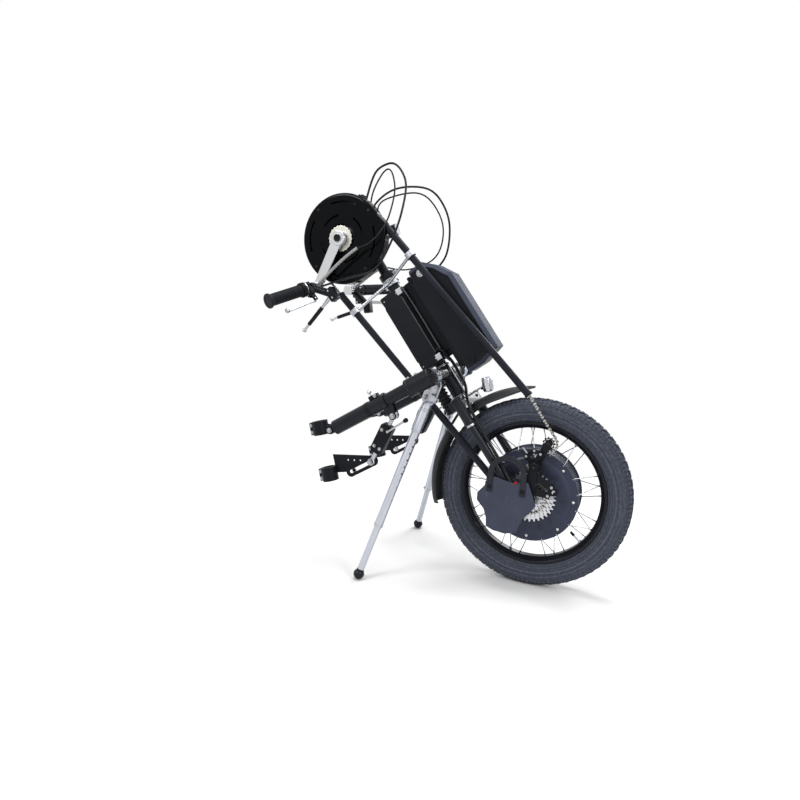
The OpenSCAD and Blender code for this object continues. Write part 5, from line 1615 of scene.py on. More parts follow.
@dataclass
class HandUnit:
    """A hand grip that turns on its crank pin, with its levers.

    Attributes:
        side: the hand.
        roll: how far the unit is turned about the pin, in degrees.
        bend: the angle of the bar off the pin, in degrees.
        middle: the distance from the part's middle to the bar.
        grip_from: where the grip starts along the bar.
        grip_to: where it ends.
        ribs: how many ribs it has.
    """

    side: Side
    roll: float
    bend: float = 28.0
    middle: float = 134.0
    grip_from: float = 38.0
    grip_to: float = 150.0
    ribs: int = 21

    @property
    def at(self) -> Matrix:
        """The unit's frame, laid out for a right hand.

        Returns:
            The frame, with Y mirrored on the left.
        """
        pin = place(f"hand_turn_{self.side.word}")
        flip = Matrix.Diagonal((1, -self.side.value, 1, 1))
        return moved(pin.x, 0, pin.z) @ turned(self.roll, "Y") @ flip

    @property
    def bar(self) -> Matrix:
        """The bar's frame, with Z along it."""
        bend = turned(self.side.value * self.bend, "Z")
        return self.at @ moved(0, -self.middle, 0) @ bend @ turned(90, "X")

    def build(self) -> None:
        """Builds the unit, its brake lever and, on the right, its shifter ring."""
        word = self.side.word
        self.grip()
        shape = Shape(STEEL).node(f"brake_lever_{word}", 1.4, self.bar)
        shape.ball((0, -44, 112), 7.2)
        shape.piece(f"brake_lever_{word}_blade", f"lever_{word}", f"brake_lever_{word}")
        if self.side is Side.RIGHT:
            shape = Shape(HARD_BLACK, self.bar @ turned(90, "X"))
            shape.ring(toothed(19.6, 21, 24), circle(11.1, 120), 26, 37.4)
            shape.use(STEEL).ring(circle(20.6, 48), circle(11.1, 48), 23, 25.8)
            shape.piece("shifter_ring", "twist", "shift_ring")

    def grip(self) -> None:
        """Bar with its lever box and a ribbed grip with a flared end, and what sits on the pin."""
        word = self.side.word
        shape = Shape(GRIP_RUBBER, self.bar)
        start, end = self.grip_from, self.grip_to
        pitch = (end - 14 - start - 4) / self.ribs
        rib = ((15.6, 0.0), (17, 0.16), (17, 0.66), (15.6, 0.82))
        ribs = [(r, start + 4 + (i + share) * pitch) for i in range(self.ribs) for r, share in rib]
        flange = [(10.6, start), (17.4, start), (17.8, start + 1), (17.8, start + 3), (16, start + 4)]
        flare = [(17, end - 14), (17.6, end - 10), (21, end - 5), (21, end - 1.4), (19.6, end), (10.6, end)]
        shape.lathe([*flange, *ribs, *flare], 56)
        shape.use(HARD_BLACK).rod((0, 0, 2), (0, 0, end - 0.6), 10.9, sides=32, bevel=0.6)
        for x in (-1, 1):
            shape.box((x * 4.4, -44, 6.4), (x * 8.2, -4, 17.6), 1.2)
        shape.box((-15, -24, 1), (15, 15, 20), 5)
        shape.use(STEEL).rod((-8.6, -38, 12), (8.6, -38, 12), 2.4, sides=16, bevel=0.4)
        shape.rod((15, 4, 10), (24, 6, 10), 3.6, 3, 18, 0.5)
        shape.hex_bolt((0, 14.6, 10), FAR, 3, 2)
        if self.side is Side.LEFT:
            collar = [(10.8, 22), (14, 22), (15, 23), (15, 34), (14, 35.4), (10.8, 35.4)]
            shape.use(HARD_BLACK).lathe(collar, 40)
        self.hub(shape)
        self.peg(shape)
        shape.piece(f"hand_grip_{word}", f"hand_{word}", f"grip_{word}")

    def hub(self, shape: Shape) -> None:
        """Hub on the crank pin, with its cap.

        Args:
            shape: what it is added to.
        """
        shape.at = self.at @ turned(90, "X")
        barrel = [(6.05, 120.2), (12.8, 120.2), (14, 121.4), (14, 146.4), (12.6, 148), (6.05, 148)]
        shape.use(HARD_BLACK).lathe(barrel, 44)
        shape.use(STEEL).lathe([(0.4, 146.8), (8, 146.8), (8, 149.4), (6.6, 150.4), (0.4, 150.4)], 32)

    def peg(self, shape: Shape) -> None:
        """Box under the hub, and the peg that leaves it.

        Args:
            shape: what they are added to.
        """
        shape.at = self.at @ moved(0, -self.middle, 0)
        box, tip = Vector((44, 0, -58)), Vector((-92, 0, -84))
        shape.use(HARD_BLACK).rod((0, 0, 0), box, 10.8, sides=28)
        shape.box((-12, -13, -20), (12, 13, 20), 4, moved(*box))
        shape.box((-9, -15, -15), (9, -11, 15), 1.4, moved(*box))
        shape.use(STEEL)
        for z in (-11, 11):
            shape.hex_bolt(box + Vector((0, -14.6, z)), NEAR, 2.8, 1.6)
        shape.use(ALLOY).rod(box.lerp(tip, 0.08), box.lerp(tip, 0.3), 6.4, 5, 24)
        shape.rod(box.lerp(tip, 0.3), tip, 4.2, 3.8, 20)
        shape.ball(tip, 6.6)
        shape.use(SOFT_RUBBER).rod(box.lerp(tip, 0.36), box.lerp(tip, 0.84), 6, 5.6, 24, 1)


@dataclass
class FrontFittings:
    """What the fork carries: fenders, lamp, apron with its strap, and the caliper.

    Attributes:
        fender_r: the radius of a fender's edges.
        dome: how far its middle stands out beyond them.
        half: half its width.
        sheet: its thickness.
        skirt: how far its edges hang below that radius.
        front: where the front fender starts and ends round the wheel, in degrees.
        rear: the same for the rear fender.
        ridge: the height of the ridge along its middle.
        bow: the power that its cross section falls off by.
        tip: how many degrees a pointed end takes.
        corner: how many degrees a round end takes.
        lamp_pitch: how far the lamp looks up, in degrees.
        strap_y: the plane that the apron's strap lies outside of.
        caliper_turn: the caliper's place round the axle, in degrees.
    """

    fender_r: float = 285.0
    dome: float = 9.0
    half: float = 35.0
    sheet: float = 3.0
    skirt: float = 9.0
    front: tuple[float, float] = (94.0, 135.0)
    rear: tuple[float, float] = (150.0, 196.0)
    ridge: float = 0.9
    bow: float = 2.6
    tip: float = 22.0
    corner: float = 5.0
    lamp_pitch: float = 15.0
    strap_y: float = -103.15
    caliper_turn: float = -143.0

    def build(self) -> None:
        """Builds the fittings."""
        front, rear = COLUMN @ Vector((11, 0, 314)), COLUMN @ Vector((0, 0, 309.3))
        self.fender("front", self.front, self.front[1] - 4, front, True)
        self.fender("rear", self.rear, self.rear[0] + 4, rear, False)
        self.lamp()
        self.apron()
        self.caliper()

    def fender(self, name: str, turns: Flat, stay: float, crown: Vector, pointed: bool) -> None:
        """An arched fender with rolled edges and a ridge, and its stay.

        Args:
            name: front or rear.
            turns: where it starts and ends, in degrees.
            stay: where its stay meets it, in degrees.
            crown: where the stay meets the fork's crown.
            pointed: whether its first end narrows to a tip.
        """
        shape = Shape(FENDER_GREY, WHEEL)
        steps = [i / 12 for i in range(-12, 13)]
        rise = self.dome + self.skirt
        edge = self.fender_r - self.skirt
        under = [(edge + rise * (1 - abs(s) ** self.bow), s * self.half) for s in steps]
        over = [(r + self.sheet + (self.ridge if abs(h) < self.half / 10 else 0), h) for r, h in under]
        lips = [(edge - 1.6, side * (self.half + 0.6)) for side in (1, -1)]
        profile = [*over, lips[0], *reversed(under), lips[1]]
        made = shape.lathe(profile, 48, turns[1] - turns[0], turned(turns[0], "Z"))
        self.narrow(made, turns, pointed)
        shape.at = PART
        top = HUB + Vector(spot_at(self.fender_r + self.dome + self.sheet / 2, stay))
        foot = crown.lerp(top, 0.16 if pointed else 0.3)
        shape.use(HARD_BLACK).rod(top, foot, 3.8, sides=20)
        out = (top - HUB).normalized()
        shape.use(STEEL).hex_bolt(top + out, out, 4, 3)
        shape.piece(f"{name}_fender_blade", "steer", f"{name}_fender")

    def narrow(self, made: Iterable[bmesh.types.BMVert], turns: Flat, pointed: bool) -> None:
        """Rounds a fender's ends by drawing their edges in, and thins a pointed one to its tip.

        Args:
            made: the fender's vertices.
            turns: where it starts and ends, in degrees.
            pointed: whether its first end narrows to a tip.
        """
        crest = self.fender_r + self.dome + self.sheet
        for vert in made:
            spot = vert.co - HUB
            turn = math.degrees(math.atan2(spot.z, spot.x)) % 360
            near = (turn - turns[0]) / (self.tip if pointed else self.corner)
            far = (turns[1] - turn) / self.corner
            share = math.sin(min(1.0, max(0.0, min(near, far))) * math.pi / 2)
            thinned = near < far and pointed
            least = 0.2 if thinned else 0.72
            vert.co.y *= least + (1 - least) * share
            if thinned:
                radius = math.hypot(spot.x, spot.z)
                wanted = crest - (crest - radius) * (0.22 + 0.78 * share)
                vert.co.x = HUB.x + spot.x * wanted / radius
                vert.co.z = HUB.z + spot.z * wanted / radius

    def lamp(self) -> None:
        """Upright barrel lamp with a fluted lens, on its wire."""
        middle = COLUMN @ Vector((86, 0, 321.5))
        way = Vector(spot_at(1, self.lamp_pitch))
        shape = Shape(CHROME, axes(middle, way, Vector((-way.z, 0, way.x))))
        half = [(0.4, -21), (9, -21), (12.6, -19.4), (14, -16)]
        shape.lathe([*half, *mirrored(half)], 56)
        shape.lathe([(13.4, -3), (14.8, -2.4), (14.8, 2.4), (13.4, 3)], 56)
        shape.use(ALLOY).box((7, -10.4, -16.4), (14.6, 10.4, 16.4), 2.6)
        shape.use(LAMP_GLASS).box((9, -8.6, -14.4), (16, 8.6, 14.4), 2.8)
        shape.use(HARD_BLACK).rod((-12, 0, -8), (-20, 0, -10), 4.4, 3.4, 20, 0.8)
        shape.at = PART
        foot = COLUMN @ Vector((25.4, 0, 322.4))
        shape.use(STEEL).rod(foot, middle - way * 6, 2.5, sides=16)
        shape.ball(foot, 3.2)
        shape.piece("headlamp_on_wire", "steer", "headlamp")

    def apron(self) -> None:
        """Grey apron over the axle with its strap, rivets and wire mark."""
        shape = Shape(APRON_GREY).node("axle_apron", 0.9)
        strap = (f for f in shape.mesh.faces if f.calc_center_median().y < self.strap_y)
        shape.use(STRAP_GREY).paint(strap)
        shape.at = moved(*HUB)
        shape.use(HARD_BLACK)
        for x, z in ((-98.5, 26), (-9.5, 26)):
            shape.rod((x, -105.6, z), (x, -107.2, z), 6.2, 5.6, 24, 0.5)
            shape.ball((x, -106.8, z), 4.2)
        shape.use(RED_MARK).rod((-34, -103.6, 44), (-26, -103.6, 49), 2.1, sides=14, bevel=0.6)
        shape.piece("axle_apron_with_strap", "steer", "axle_apron")

    def caliper(self) -> None:
        """Brake caliper with its bolts and banjo."""
        shape = Shape(CAST_BLACK).node("brake_caliper", 1.6, moved(*HUB) @ turned(self.caliper_turn, "Y"))
        shape.use(STEEL)
        for z in (-15, 15):
            shape.hex_bolt((82, 66.6, z), FAR, 3.6, 3)
            shape.hex_bolt((94.6, 58, z * 0.5), (1, 0, 0), 3.4, 3)
        shape.rod((95, 47, 0), (104, 44, 0), 4.4, 3.6, 18, 0.6)
        shape.piece("brake_caliper_body", "steer", "brake_caliper")


@dataclass
class Dock:
    """The docking frame with its damper.

    Attributes:
        arm_y: the distance from the middle to each docking arm.
        tube_r: the cross tube's radius.
        welds: how many beads a weld has.
        boot_ribs: how many ribs the damper's boot has.
        boot_rib: the distance between two of them.
    """

    arm_y: float = 165.0
    tube_r: float = 17.0
    welds: int = 40
    boot_ribs: int = 7
    boot_rib: float = 78 / 7

    def build(self) -> None:
        """Builds the frame, its welds and the damper."""
        shape = Shape(TUBE_BLACK).node("dock_frame", 0.8)
        for side in Side:
            k = side.value
            for y in (self.arm_y - 24.6, 19.6):
                self.weld(shape, DOCK @ Vector((0, k * y, 0)))
            shape.at = DOCK @ moved(0, k * self.arm_y, 0) @ turned(90, "Y")
            shape.lathe([(20, 15.6), (25, 15.6), (26, 14.6), (26, 10), (25, 9), (20, 9)], 48)
            plug = [(0.4, 13), (22, 13), (24.4, 15.4), (24, 18.2), (20, 19.6), (0.4, 20)]
            shape.use(HARD_BLACK).lathe(plug, 48)
            collar = [(17.6, -60), (25.6, -59.4), (25.6, -52), (24.6, -51), (17.6, -51)]
            shape.use(TUBE_BLACK).lathe(collar, 48)
            shape.at = DOCK
            shape.use(STEEL)
            for x in (-46, -22):
                shape.hex_bolt((x, k * self.arm_y, 24.4), (0, 0, 1), 4.4, 4)
            shape.use(TUBE_BLACK)
        shape.piece("docking_frame", "frame", "dock_frame")
        self.damper()

    def weld(self, shape: Shape, spot: Vector) -> None:
        """A ring of weld beads round the cross tube at a spot of its middle line."""
        shape.at = moved(*spot)
        shape.repeat(self.welds, spot, lambda: shape.ball((0, 0, self.tube_r + 0.6), 2.1, sides=8))

    def damper(self) -> None:
        """Ribbed rubber boot with end plates."""
        shape = Shape(SOFT_RUBBER, COLUMN @ moved(-46, 0, 303))
        rib = ((14.8, 1), (18, 2.6), (19, 4.4), (18, 6.4), (15, 9.6))
        boot = [(r, i * self.boot_rib + h) for i in range(self.boot_ribs) for r, h in rib]
        shape.lathe([(0.5, 0), (15, 0), *boot, (15, 77.8), (0.5, 77.8)], 56)
        shape.use(STEEL).lathe([(0.5, -2.4), (9, -2.4), (10, -1.4), (10, 0.6), (0.5, 0.6)], 40)
        shape.hex_bolt((0, 0, 84), (0, 0, 1), 5, 4)
        shape.piece("damper_boot", "frame", "steering_damper")


@dataclass
class DockArm:
    """One docking arm: sleeve, clamp, strut with its lever, and slotted plate.

    Attributes:
        side: the side that it is on.
        y: how far it stands from the middle.
        lean: the strut's lean, in degrees.
        tube_lean: the lean of the tubes that its clamps hold, in degrees.
    """

    side: Side
    y: float = Dock.arm_y
    lean: float = 23.3
    tube_lean: float = -15.5

    def build(self) -> None:
        """Builds the arm's pieces."""
        self.sleeve()
        self.clamp()
        self.strut()
        self.lever()
        self.plate()

    def sleeve(self) -> None:
        """Sleeve with a lip, a pinch block and the strut's bolt."""
        word = self.side.word
        here = DOCK @ moved(0, self.side.value * self.y, 0)
        shape = Shape(TUBE_BLACK).node(f"arm_sleeve_{word}", 0.9, here @ turned(90, "Y"))
        lip = [(18.2, -129.8), (22.6, -129.8), (23.4, -131), (23.4, -139), (22.4, -140.4), (18.2, -140.4)]
        shape.lathe(lip, 48)
        shape.use(HARD_BLACK).lathe([(20.9, -196), (22, -195.4), (22, -184), (20.9, -183.4)], 48)
        shape.at = here
        shape.box((-176, -8, 19), (-146, 8, 31), 2)
        shape.use(STEEL).bolt_pair((-154, 0, 26), 7.8, 4, 4)
        shape.bolt_pair((-132, 0, -46), 11.2, 6, 5)
        shape.use(CHROME).rod((-168, 0, 30), (-168, 0, 42), 3.4, sides=20)
        shape.ball((-168, 0, 43), 6.4)
        shape.piece(f"docking_sleeve_{word}", f"arm_{word}", f"arm_sleeve_{word}")

    def clamp(self) -> None:
        """Clamp for an upright tube, with its ears and bolts."""
        word = self.side.word
        pin = moved(*place(f"clamp_tilt_{word}"))
        shape = Shape(CAST_BLACK).node(f"frame_clamp_{word}", 1.0, pin)
        shape.use(STEEL).bolt_pair((0, 0, 0), 18, 5.6, 3)
        shape.at = pin @ moved(-38, 0, 0) @ turned(self.tube_lean, "Y")
        shape.use(HARD_BLACK).box((-31.4, -0.8, -18.4), (-20, 0.8, 18.4), 0.2)
        self.ears(shape, 9)
        shape.piece(f"chair_clamp_{word}", f"clamp_{word}", f"frame_clamp_{word}")

    @staticmethod
    def ears(shape: Shape, half: float) -> None:
        """The ears of a split clamp, with their bolts.

        Args:
            shape: what they are added to, in the frame of the tube that it holds.
            half: half their width.
        """
        shape.use(CAST_BLACK).box((-31, -half, -18), (-21, half, 18), 1.6)
        for z in (-10, 10):
            shape.use(STEEL).bolt_pair((-26, 0, z), half - 0.2, 3.6, 3)

    def strut(self) -> None:
        """Strut: silver eyes and stem, and a black body with caps."""
        k, word = self.side.value, self.side.word
        here = moved(*place(f"link_swing_{word}")) @ turned(self.lean, "Y")
        shape = Shape(CAST_BLACK, here)
        shape.box((-18.3, -14.8, -113.8), (18.3, 14.8, -34.2), 3.2)
        shape.box((-15, -12, -36), (15, 12, -30), 2)
        shape.box((-14, -12.5, -119), (14, 12.5, -112), 2)
        for z in (-58, -74, -90, -104):
            shape.box((-18.9, -11, z - 2), (18.9, 11, z + 2), 0.8)
        shape.use(ALLOY).rod((0, 0, -150), (0, 0, -8), 5.9, sides=28)
        for z, r in ((0, 11), (-151, 10)):
            shape.at = here @ moved(0, 0, z) @ turned(90, "X")
            shape.lathe([(4.06, -6.9), (r - 1, -6.9), (r, -5.9), (r, 5.9), (r - 1, 6.9), (4.06, 6.9)], 40)
        shape.at = here
        for x, z in ((-9, -48), (-9, -100), (9, -100)):
            shape.use(STEEL).hex_bolt((x, k * 14.6, z), (0, k, 0), 3.6, 3)
        shape.piece(f"docking_strut_{word}", f"link_{word}", f"strut_{word}")

    def lever(self) -> None:
        """Lever of the strut, with its ball."""
        k, word = self.side.value, self.side.word
        shape = Shape(STEEL, moved(*place(f"latch_turn_{word}")) @ turned(self.lean, "Y"))
        shape.rod((0, -k * 14.6, 0), (0, k * 21, 0), 3.95, sides=24, bevel=0.6)
        shape.rod((0, k * 18.3, 0), (32, k * 18.3, 56), 3, 2.6, 20)
        shape.use(HARD_BLACK).ball((32, k * 18.3, 56), 6.5, sides=24)
        neck = moved(28.6, k * 18.3, 50) @ turned(29.7, "Y")
        shape.lathe([(2.9, 0), (5, 0), (5.4, 3), (4, 6), (2.9, 6)], 24, local=neck)
        shape.piece(f"strut_ball_lever_{word}", f"latch_{word}", f"strut_lever_{word}")

    def plate(self) -> None:
        """Slotted plate with its bolts."""
        k, word = self.side.value, self.side.word
        shape = Shape(CAST_BLACK).node(f"chair_plate_{word}", 0.7)
        low = place(f"plate_tilt_{word}")
        shape.at = moved(low.x, 0, low.z)
        shape.use(POLISHED)
        shape.rod((0, k * 152.8, 0), (0, k * 146.4, 0), 8.4, 7.4, 28, 0.8)
        shape.use(STEEL).hex_bolt((0, k * 176.6, 0), (0, k, 0), 6, 4)
        shape.hex_bolt((-58.5, k * 152.9, -37.2), (0, -k, 0), 5.6, 4)
        shape.at = moved(low.x - 129.91, k * self.y, low.z - 55.65) @ turned(self.tube_lean, "Y")
        self.ears(shape, 8)
        shape.piece(f"slotted_plate_{word}", f"plate_{word}", f"chair_plate_{word}")


@dataclass
class StandLeg:
    """One leg of the parking stand, with its bracket and ball foot.

    Attributes:
        side: the side that it is on.
        length: the distance from the fold pin to the middle of the foot.
        foot_r: the radius of the foot.
    """

    side: Side
    length: float = 526.19
    foot_r: float = 15.0

    @property
    def at(self) -> Matrix:
        """The leg's frame.

        Returns:
            The frame, with Z along the fold pin and X up the leg.
        """
        word = self.side.word
        fold = f"stand_fold_{word}"
        return axes(place(fold), heading(f"stand_slide_{word}"), heading(fold))

    def build(self) -> None:
        """Builds the leg's pieces."""
        self.hinge()
        self.leg()
        self.foot()

    def hinge(self) -> None:
        """Bracket on the cross tube, with its bolts."""
        k, word = self.side.value, self.side.word
        shape = Shape(ALLOY).node(f"stand_bracket_{word}", 0.9, self.at)
        shape.use(STEEL)
        for way in (1, -1):
            shape.hex_bolt((0, 0, way * 14.2), (0, 0, way), 6.4, 4)
            shape.hex_bolt((25, 0, way * 14.4), (0, 0, way), 3.6, 3)
        shape.at = DOCK @ moved(0, k * 120, 0)
        for y in (-9, 9):
            shape.hex_bolt((0, y, 22.6), (0, 0, 1), 4, 3.4)
            shape.hex_bolt((22.6, y, 0), (1, 0, 0), 4, 3.4)
        shape.piece(f"stand_hinge_{word}", "frame", f"stand_bracket_{word}")

    def leg(self) -> None:
        """Outer leg with its rings, catch and height pin."""
        word = self.side.word
        shape = Shape(LEG_ALLOY).node(f"stand_leg_{word}", 0.7, self.at @ turned(-90, "Y"))
        shape.use(ALLOY).lathe([(14, 30), (15, 30.6), (15, 38), (14, 39)], 40)
        shape.lathe([(12, 92), (14.8, 92.6), (14.8, 98.6), (13.4, 100), (12, 100)], 40)
        shape.lathe([(9.7, 372), (12.2, 372), (12.7, 372.6), (12.7, 381.8), (12.2, 382.4), (9.7, 382.4)], 40)
        shape.at = self.at
        shape.use(HARD_BLACK).box((-92, -17.5, -7), (-52, -12.4, 7), 1.8)
        shape.box((-60, -22, -5), (-40, -15, 5), 2)
        shape.use(STEEL).hex_bolt((-84, -17.2, 0), NEAR, 3.2, 2.4)
        shape.rod((-375, -16.4, 0), (-375, -12, 0), 3.4, sides=18, bevel=0.6)
        shape.piece(f"stand_leg_{word}_outer", f"leg_{word}", f"stand_leg_{word}")

    def foot(self) -> None:
        """Inner tube with its ball foot, which has a band round it."""
        word = self.side.word
        shape = Shape(LEG_ALLOY, self.at @ turned(-90, "Y"))
        end = self.length - 6
        shape.lathe([(7.5, 232), (9.46, 232), (9.46, end), (7.5, end)], 36)
        shape.use(SOFT_RUBBER).lathe([(9.4, end - 9), (10.3, end - 8.4), (10.8, end - 4), (9.4, end - 3)], 36)
        shape.use(BALL_RUBBER).ball((0, 0, self.length), self.foot_r, sides=40)
        around = [polar(self.foot_r - 0.1, math.radians(turn)) for turn in (-18, -14, -10, -6)]
        band = [(r, self.length + h) for r, h in around]
        shape.lathe([*((r + 0.5, h) for r, h in band), *((r - 2, h) for r, h in reversed(band))], 48)
        shape.piece(f"stand_foot_{word}_leg", f"foot_{word}", f"stand_tube_{word}", f"stand_foot_{word}")


@dataclass
class Cabling:
    """The control cables and the wires.

    Attributes:
        right_brake: the route of the right brake's cable, ahead of the wheel's axle.
        right_thin: the same for the gear cable.
        right_noodle: the same for the sleeve at its end.
        left_brake: the same for the left brake's cable.
        left_thin: the same for the bell's cable.
        left_noodle: the same for the sleeve at its end.
        harness: the route of the motor's wires, in the column's frame.
        mast_wire: the same for the wire along the mast.
        steered: how far from the middle a control cable was to follow the column, in metres; it is not used.
        cranked: how far from the middle it was to start following the crank, in metres; it is not used.
        ease: how many times a control cable's bends are eased.
        wire_ease: how many times a wire's bends are eased.
    """

    right_brake: Sequence[Point] = (
        (-534, -12, 954), (-542, -26, 976), (-552, -34, 1005), (-518, -46, 1113), (-481, -56, 1137),
        (-446, -66, 1139), (-413, -76, 1105), (-401, -84, 1064), (-414, -96, 971), (-451, -106, 876),
        (-484, -110, 842), (-560, -112, 820), (-647, -110, 792),
    )
    right_thin: Sequence[Point] = (
        (-516, -12, 961), (-524, -28, 986), (-526, -36, 1060), (-476, -46, 1133), (-446, -58, 1083),
        (-445, -72, 1027), (-456, -88, 972), (-491, -104, 921), (-526, -113, 906),
    )
    right_noodle: Sequence[Point] = (
        (-526, -113, 906), (-560, -115, 880), (-592, -115, 852), (-649, -115, 797),
    )
    left_brake: Sequence[Point] = (
        (-534, 12, 954), (-542, 26, 976), (-557, 32, 1032), (-499, 42, 1087), (-416, 54, 1097),
        (-366, 64, 1076), (-329, 80, 1008), (-332, 96, 924), (-356, 104, 880), (-410, 109, 836),
        (-490, 112, 804), (-570, 112, 793), (-647, 110, 791),
    )
    left_thin: Sequence[Point] = (
        (-516, 12, 961), (-524, 28, 986), (-540, 36, 1044), (-490, 46, 1071), (-422, 56, 1081),
        (-381, 66, 1057), (-348, 82, 997), (-355, 98, 930), (-390, 108, 888), (-470, 114, 862),
        (-540, 115, 868),
    )
    left_noodle: Sequence[Point] = (
        (-540, 115, 868), (-570, 115, 856), (-600, 115, 835), (-649, 115, 796),
    )
    harness: Sequence[Point] = (
        (24.2, -38, 478), (34, -38, 478), (36, -33, 462), (36, -12, 440), (34, 0, 420), (33, 0, 390),
        (33, -4, 360), (33, -20, 342), (31, -44, 322), (32, -72, 296), (32, -84, 270), (32, -84, 250),
        (29, -84, 200), (29, -86, 130), (27, -93, 84), (24, -93, 40),
    )
    mast_wire: Sequence[Point] = (
        (26, -20, 690), (27, -15, 660), (27, -11, 600), (27, -12, 540), (27, -14, 480), (30, -20, 452),
        (33, -10, 436),
    )
    steered: float = 0.084
    cranked: float = 0.112
    ease: int = 40
    wire_ease: int = 14

    def build(self) -> None:
        """Builds every cable; the two wires ride on the steer."""
        right = (self.right_brake, self.right_thin, self.right_noodle)
        left = (self.left_brake, self.left_thin, self.left_noodle)
        for side, purpose, routes in ((Side.RIGHT, "gear", right), (Side.LEFT, "bell", left)):
            k, word = side.value, side.word
            brake, thin, noodle = ([Vector(p) + AHEAD * FORWARD for p in route] for route in routes)
            cords = [
                Cord(f"brake_cable_{word}", brake, 6.0, ease=self.ease),
                Cord(f"{purpose}_cable_{word}", thin, 4.6, ease=self.ease),
                Cord(f"cable_noodle_{word}", noodle, 9.0, SLEEVE_GREY, 12, 3.2),
            ]
            for cord in cords:
                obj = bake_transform(cord.build())
                report(obj, "steer and crank", (f"cables_{word}",) if cord is cords[0] else ())
        loom, wire = ([COLUMN @ Vector(p) for p in route] for route in (self.harness, self.mast_wire))
        cord = Cord("wire_loom", loom, 9.0, ease=self.wire_ease)
        report(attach(cord.build(), "steer"), "steer", ("wire_harness",))
        cord = Cord("mast_wire", wire, 6.5, WRAP_AND_PAINTED_HIGHLIGHT_GREY, rib=2.4, ease=self.wire_ease)
        report(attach(cord.build(), "steer"), "steer", ())


@dataclass(frozen=True)
class Softbox:
    """An area light that looks at the middle of the part.

    Attributes:
        name: its name.
        spot: where it stands, in metres.
        size: the length of its sides.
        power: its power in watts.
    """

    name: str
    spot: Point
    size: float
    power: float

    def build(self) -> None:
        """Adds the light."""
        lamp = bpy.data.lights.new(self.name, "AREA")
        lamp.shape = "SQUARE"
        lamp.size = self.size
        lamp.energy = self.power
        obj = bpy.data.objects.new(self.name, lamp)
        way = Vector((0, 0, 0.5)) - Vector(self.spot)
        obj.matrix_world = Matrix.Translation(self.spot) @ way.to_track_quat("-Z", "Y").to_matrix().to_4x4()
        bpy.context.scene.collection.objects.link(obj)


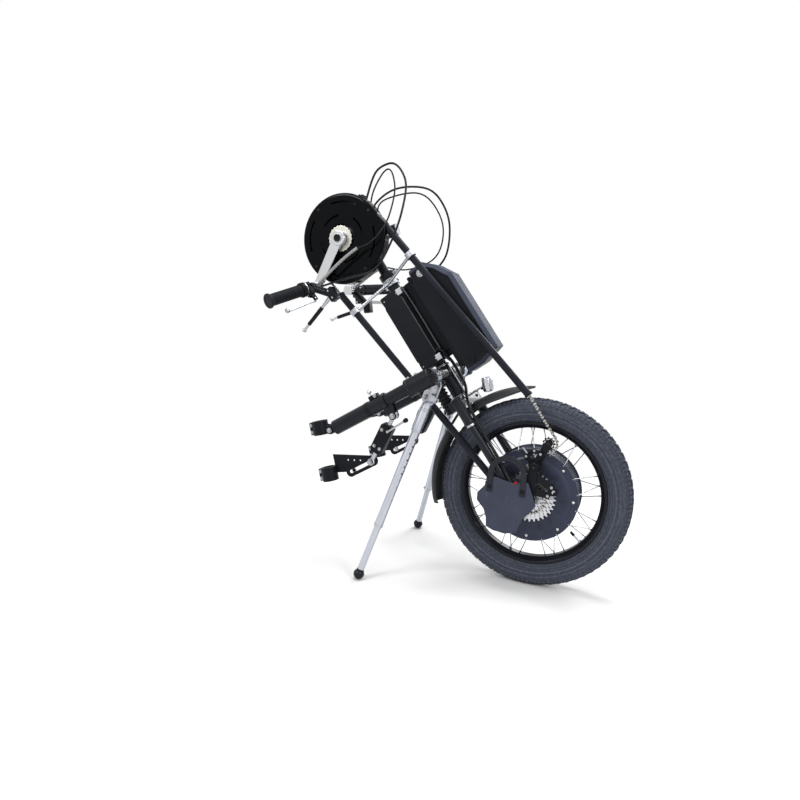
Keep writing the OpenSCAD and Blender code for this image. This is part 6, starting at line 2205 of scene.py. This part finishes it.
@dataclass
class Studio:
    """The camera of the photograph, soft lights, and a plain pale floor.

    Attributes:
        eye: the camera's place, in metres.
        right: the camera's right.
        up: its upward direction.
        lens: its focal length.
        sensor: the width of its sensor.
        lights: the soft lights.
        fill: the strength of the light from all round.
        pale: how far from the middle the floor starts to turn plain white, in metres.
        floor_r: the radius of the floor, in metres.
    """

    eye: Point = (0.28456, -1.6954, 0.77754)
    right: Point = (0.91872, 0.39053, 0.05862)
    up: Point = (-0.11690, 0.12716, 0.98497)
    lens: float = 27.99
    sensor: float = 36.0
    lights: Sequence[Softbox] = (
        Softbox("key_light", (-1.6, -2.4, 2.4), 1.0, 44),
        Softbox("side_light", (2.4, -1.6, 1.6), 0.9, 30),
        Softbox("top_light", (0.1, 0.2, 3.0), 1.6, 66),
        Softbox("back_light", (0.6, 2.6, 1.8), 1.4, 38),
    )
    fill: float = 0.45
    pale: float = 0.75
    floor_r: float = 14.0

    def build(self) -> None:
        """Builds the studio."""
        self.camera()
        for light in self.lights:
            light.build()
        self.floor()
        self.world()
        bpy.context.scene.view_settings.view_transform = "Standard"

    def camera(self) -> None:
        """Places the camera."""
        data = bpy.data.cameras.new("camera")
        data.lens = self.lens
        data.sensor_width = self.sensor
        obj = bpy.data.objects.new("camera", data)
        right, up = Vector(self.right).normalized(), Vector(self.up).normalized()
        obj.matrix_world = axes(Vector(self.eye) + AHEAD * MM * FORWARD, right, right.cross(up))
        bpy.context.scene.collection.objects.link(obj)
        bpy.context.scene.camera = obj

    @staticmethod
    def seen(graph: Graph) -> Value:
        """One for rays from the camera, a mirror or through glass, and zero for light itself."""
        rays = [graph.node("ShaderNodeLightPath", {}, {}, i) for i in (0, 3, 6)]
        return (rays[0] + rays[1] + rays[2]).held()

    def floor(self) -> None:
        """Lays the pale floor, which turns to plain white away from the part."""
        mesh = bmesh.new()
        bmesh.ops.create_circle(mesh, cap_ends=True, radius=self.floor_r, segments=96)
        data = bpy.data.meshes.new("floor")
        mesh.to_mesh(data)
        mesh.free()
        graph = Graph(bpy.data.materials.new("floor_white"))
        tone = graph.mix(graph.noise(3, 2), (0.83, 0.83, 0.83, 1), (0.86, 0.86, 0.86, 1))
        inputs = {"Base Color": tone, "Roughness": 0.9, "Specular IOR Level": 0.1}
        near = graph.node("ShaderNodeBsdfPrincipled", {}, inputs)
        far = graph.node("ShaderNodeEmission", {}, {0: (1, 1, 1, 1)})
        radius = graph.node("ShaderNodeVectorMath", {"operation": "LENGTH"}, {0: graph.spot()}, 1)
        share = ((radius - self.pale) * 1.4).held() * self.seen(graph)
        graph.close(graph.node("ShaderNodeMixShader", {}, {0: share, 1: near, 2: far}))
        data.materials.append(graph.owner)
        obj = bpy.data.objects.new("floor", data)
        bpy.context.scene.collection.objects.link(obj)

    def world(self) -> None:
        """Sets a surround that is white to the eye and dimmer as light."""
        graph = Graph(bpy.data.worlds.new("surround"))
        levels = ({0: (1, 1, 1, 1), 1: level} for level in (self.fill, 1.0))
        dim, white = (graph.node("ShaderNodeBackground", {}, inputs) for inputs in levels)
        share = self.seen(graph)
        graph.close(graph.node("ShaderNodeMixShader", {}, {0: share, 1: dim, 2: white}), "World")
        bpy.context.scene.world = graph.owner


def chain_path() -> ChainRun:
    """The chain's path round the chainring, the tube's bend, both jockeys and the driven sprocket.

    Returns:
        The path.
    """
    bend = HUB + Vector((-65, 0, 234))
    upper, lower = place("upper_jockey_spin"), place("lower_jockey_spin")
    wheels = ((CRANK_AXLE, 117), (bend, 60), (upper, 22), (lower, -22), (HUB, Sprockets.driven_r))
    return ChainRun(CHAIN_Y, [(Vector((spot.x, spot.z)), radius) for spot, radius in wheels])


def main() -> None:
    """Builds every sub-assembly and the studio."""
    logging.basicConfig(level=logging.INFO, format="%(message)s")
    chain = chain_path()
    parts = [FrontWheel(), Sprockets(), chain, Derailleur(), Column(), CrankDrive(chain)]
    parts += [FrontFittings(), Dock(), Cabling(), HandUnit(Side.RIGHT, -40), HandUnit(Side.LEFT, -10)]
    for side in Side:
        parts += [DockArm(side), StandLeg(side)]
    for part in [*parts, Studio()]:
        part.build()


if __name__ == "__main__":
    main()
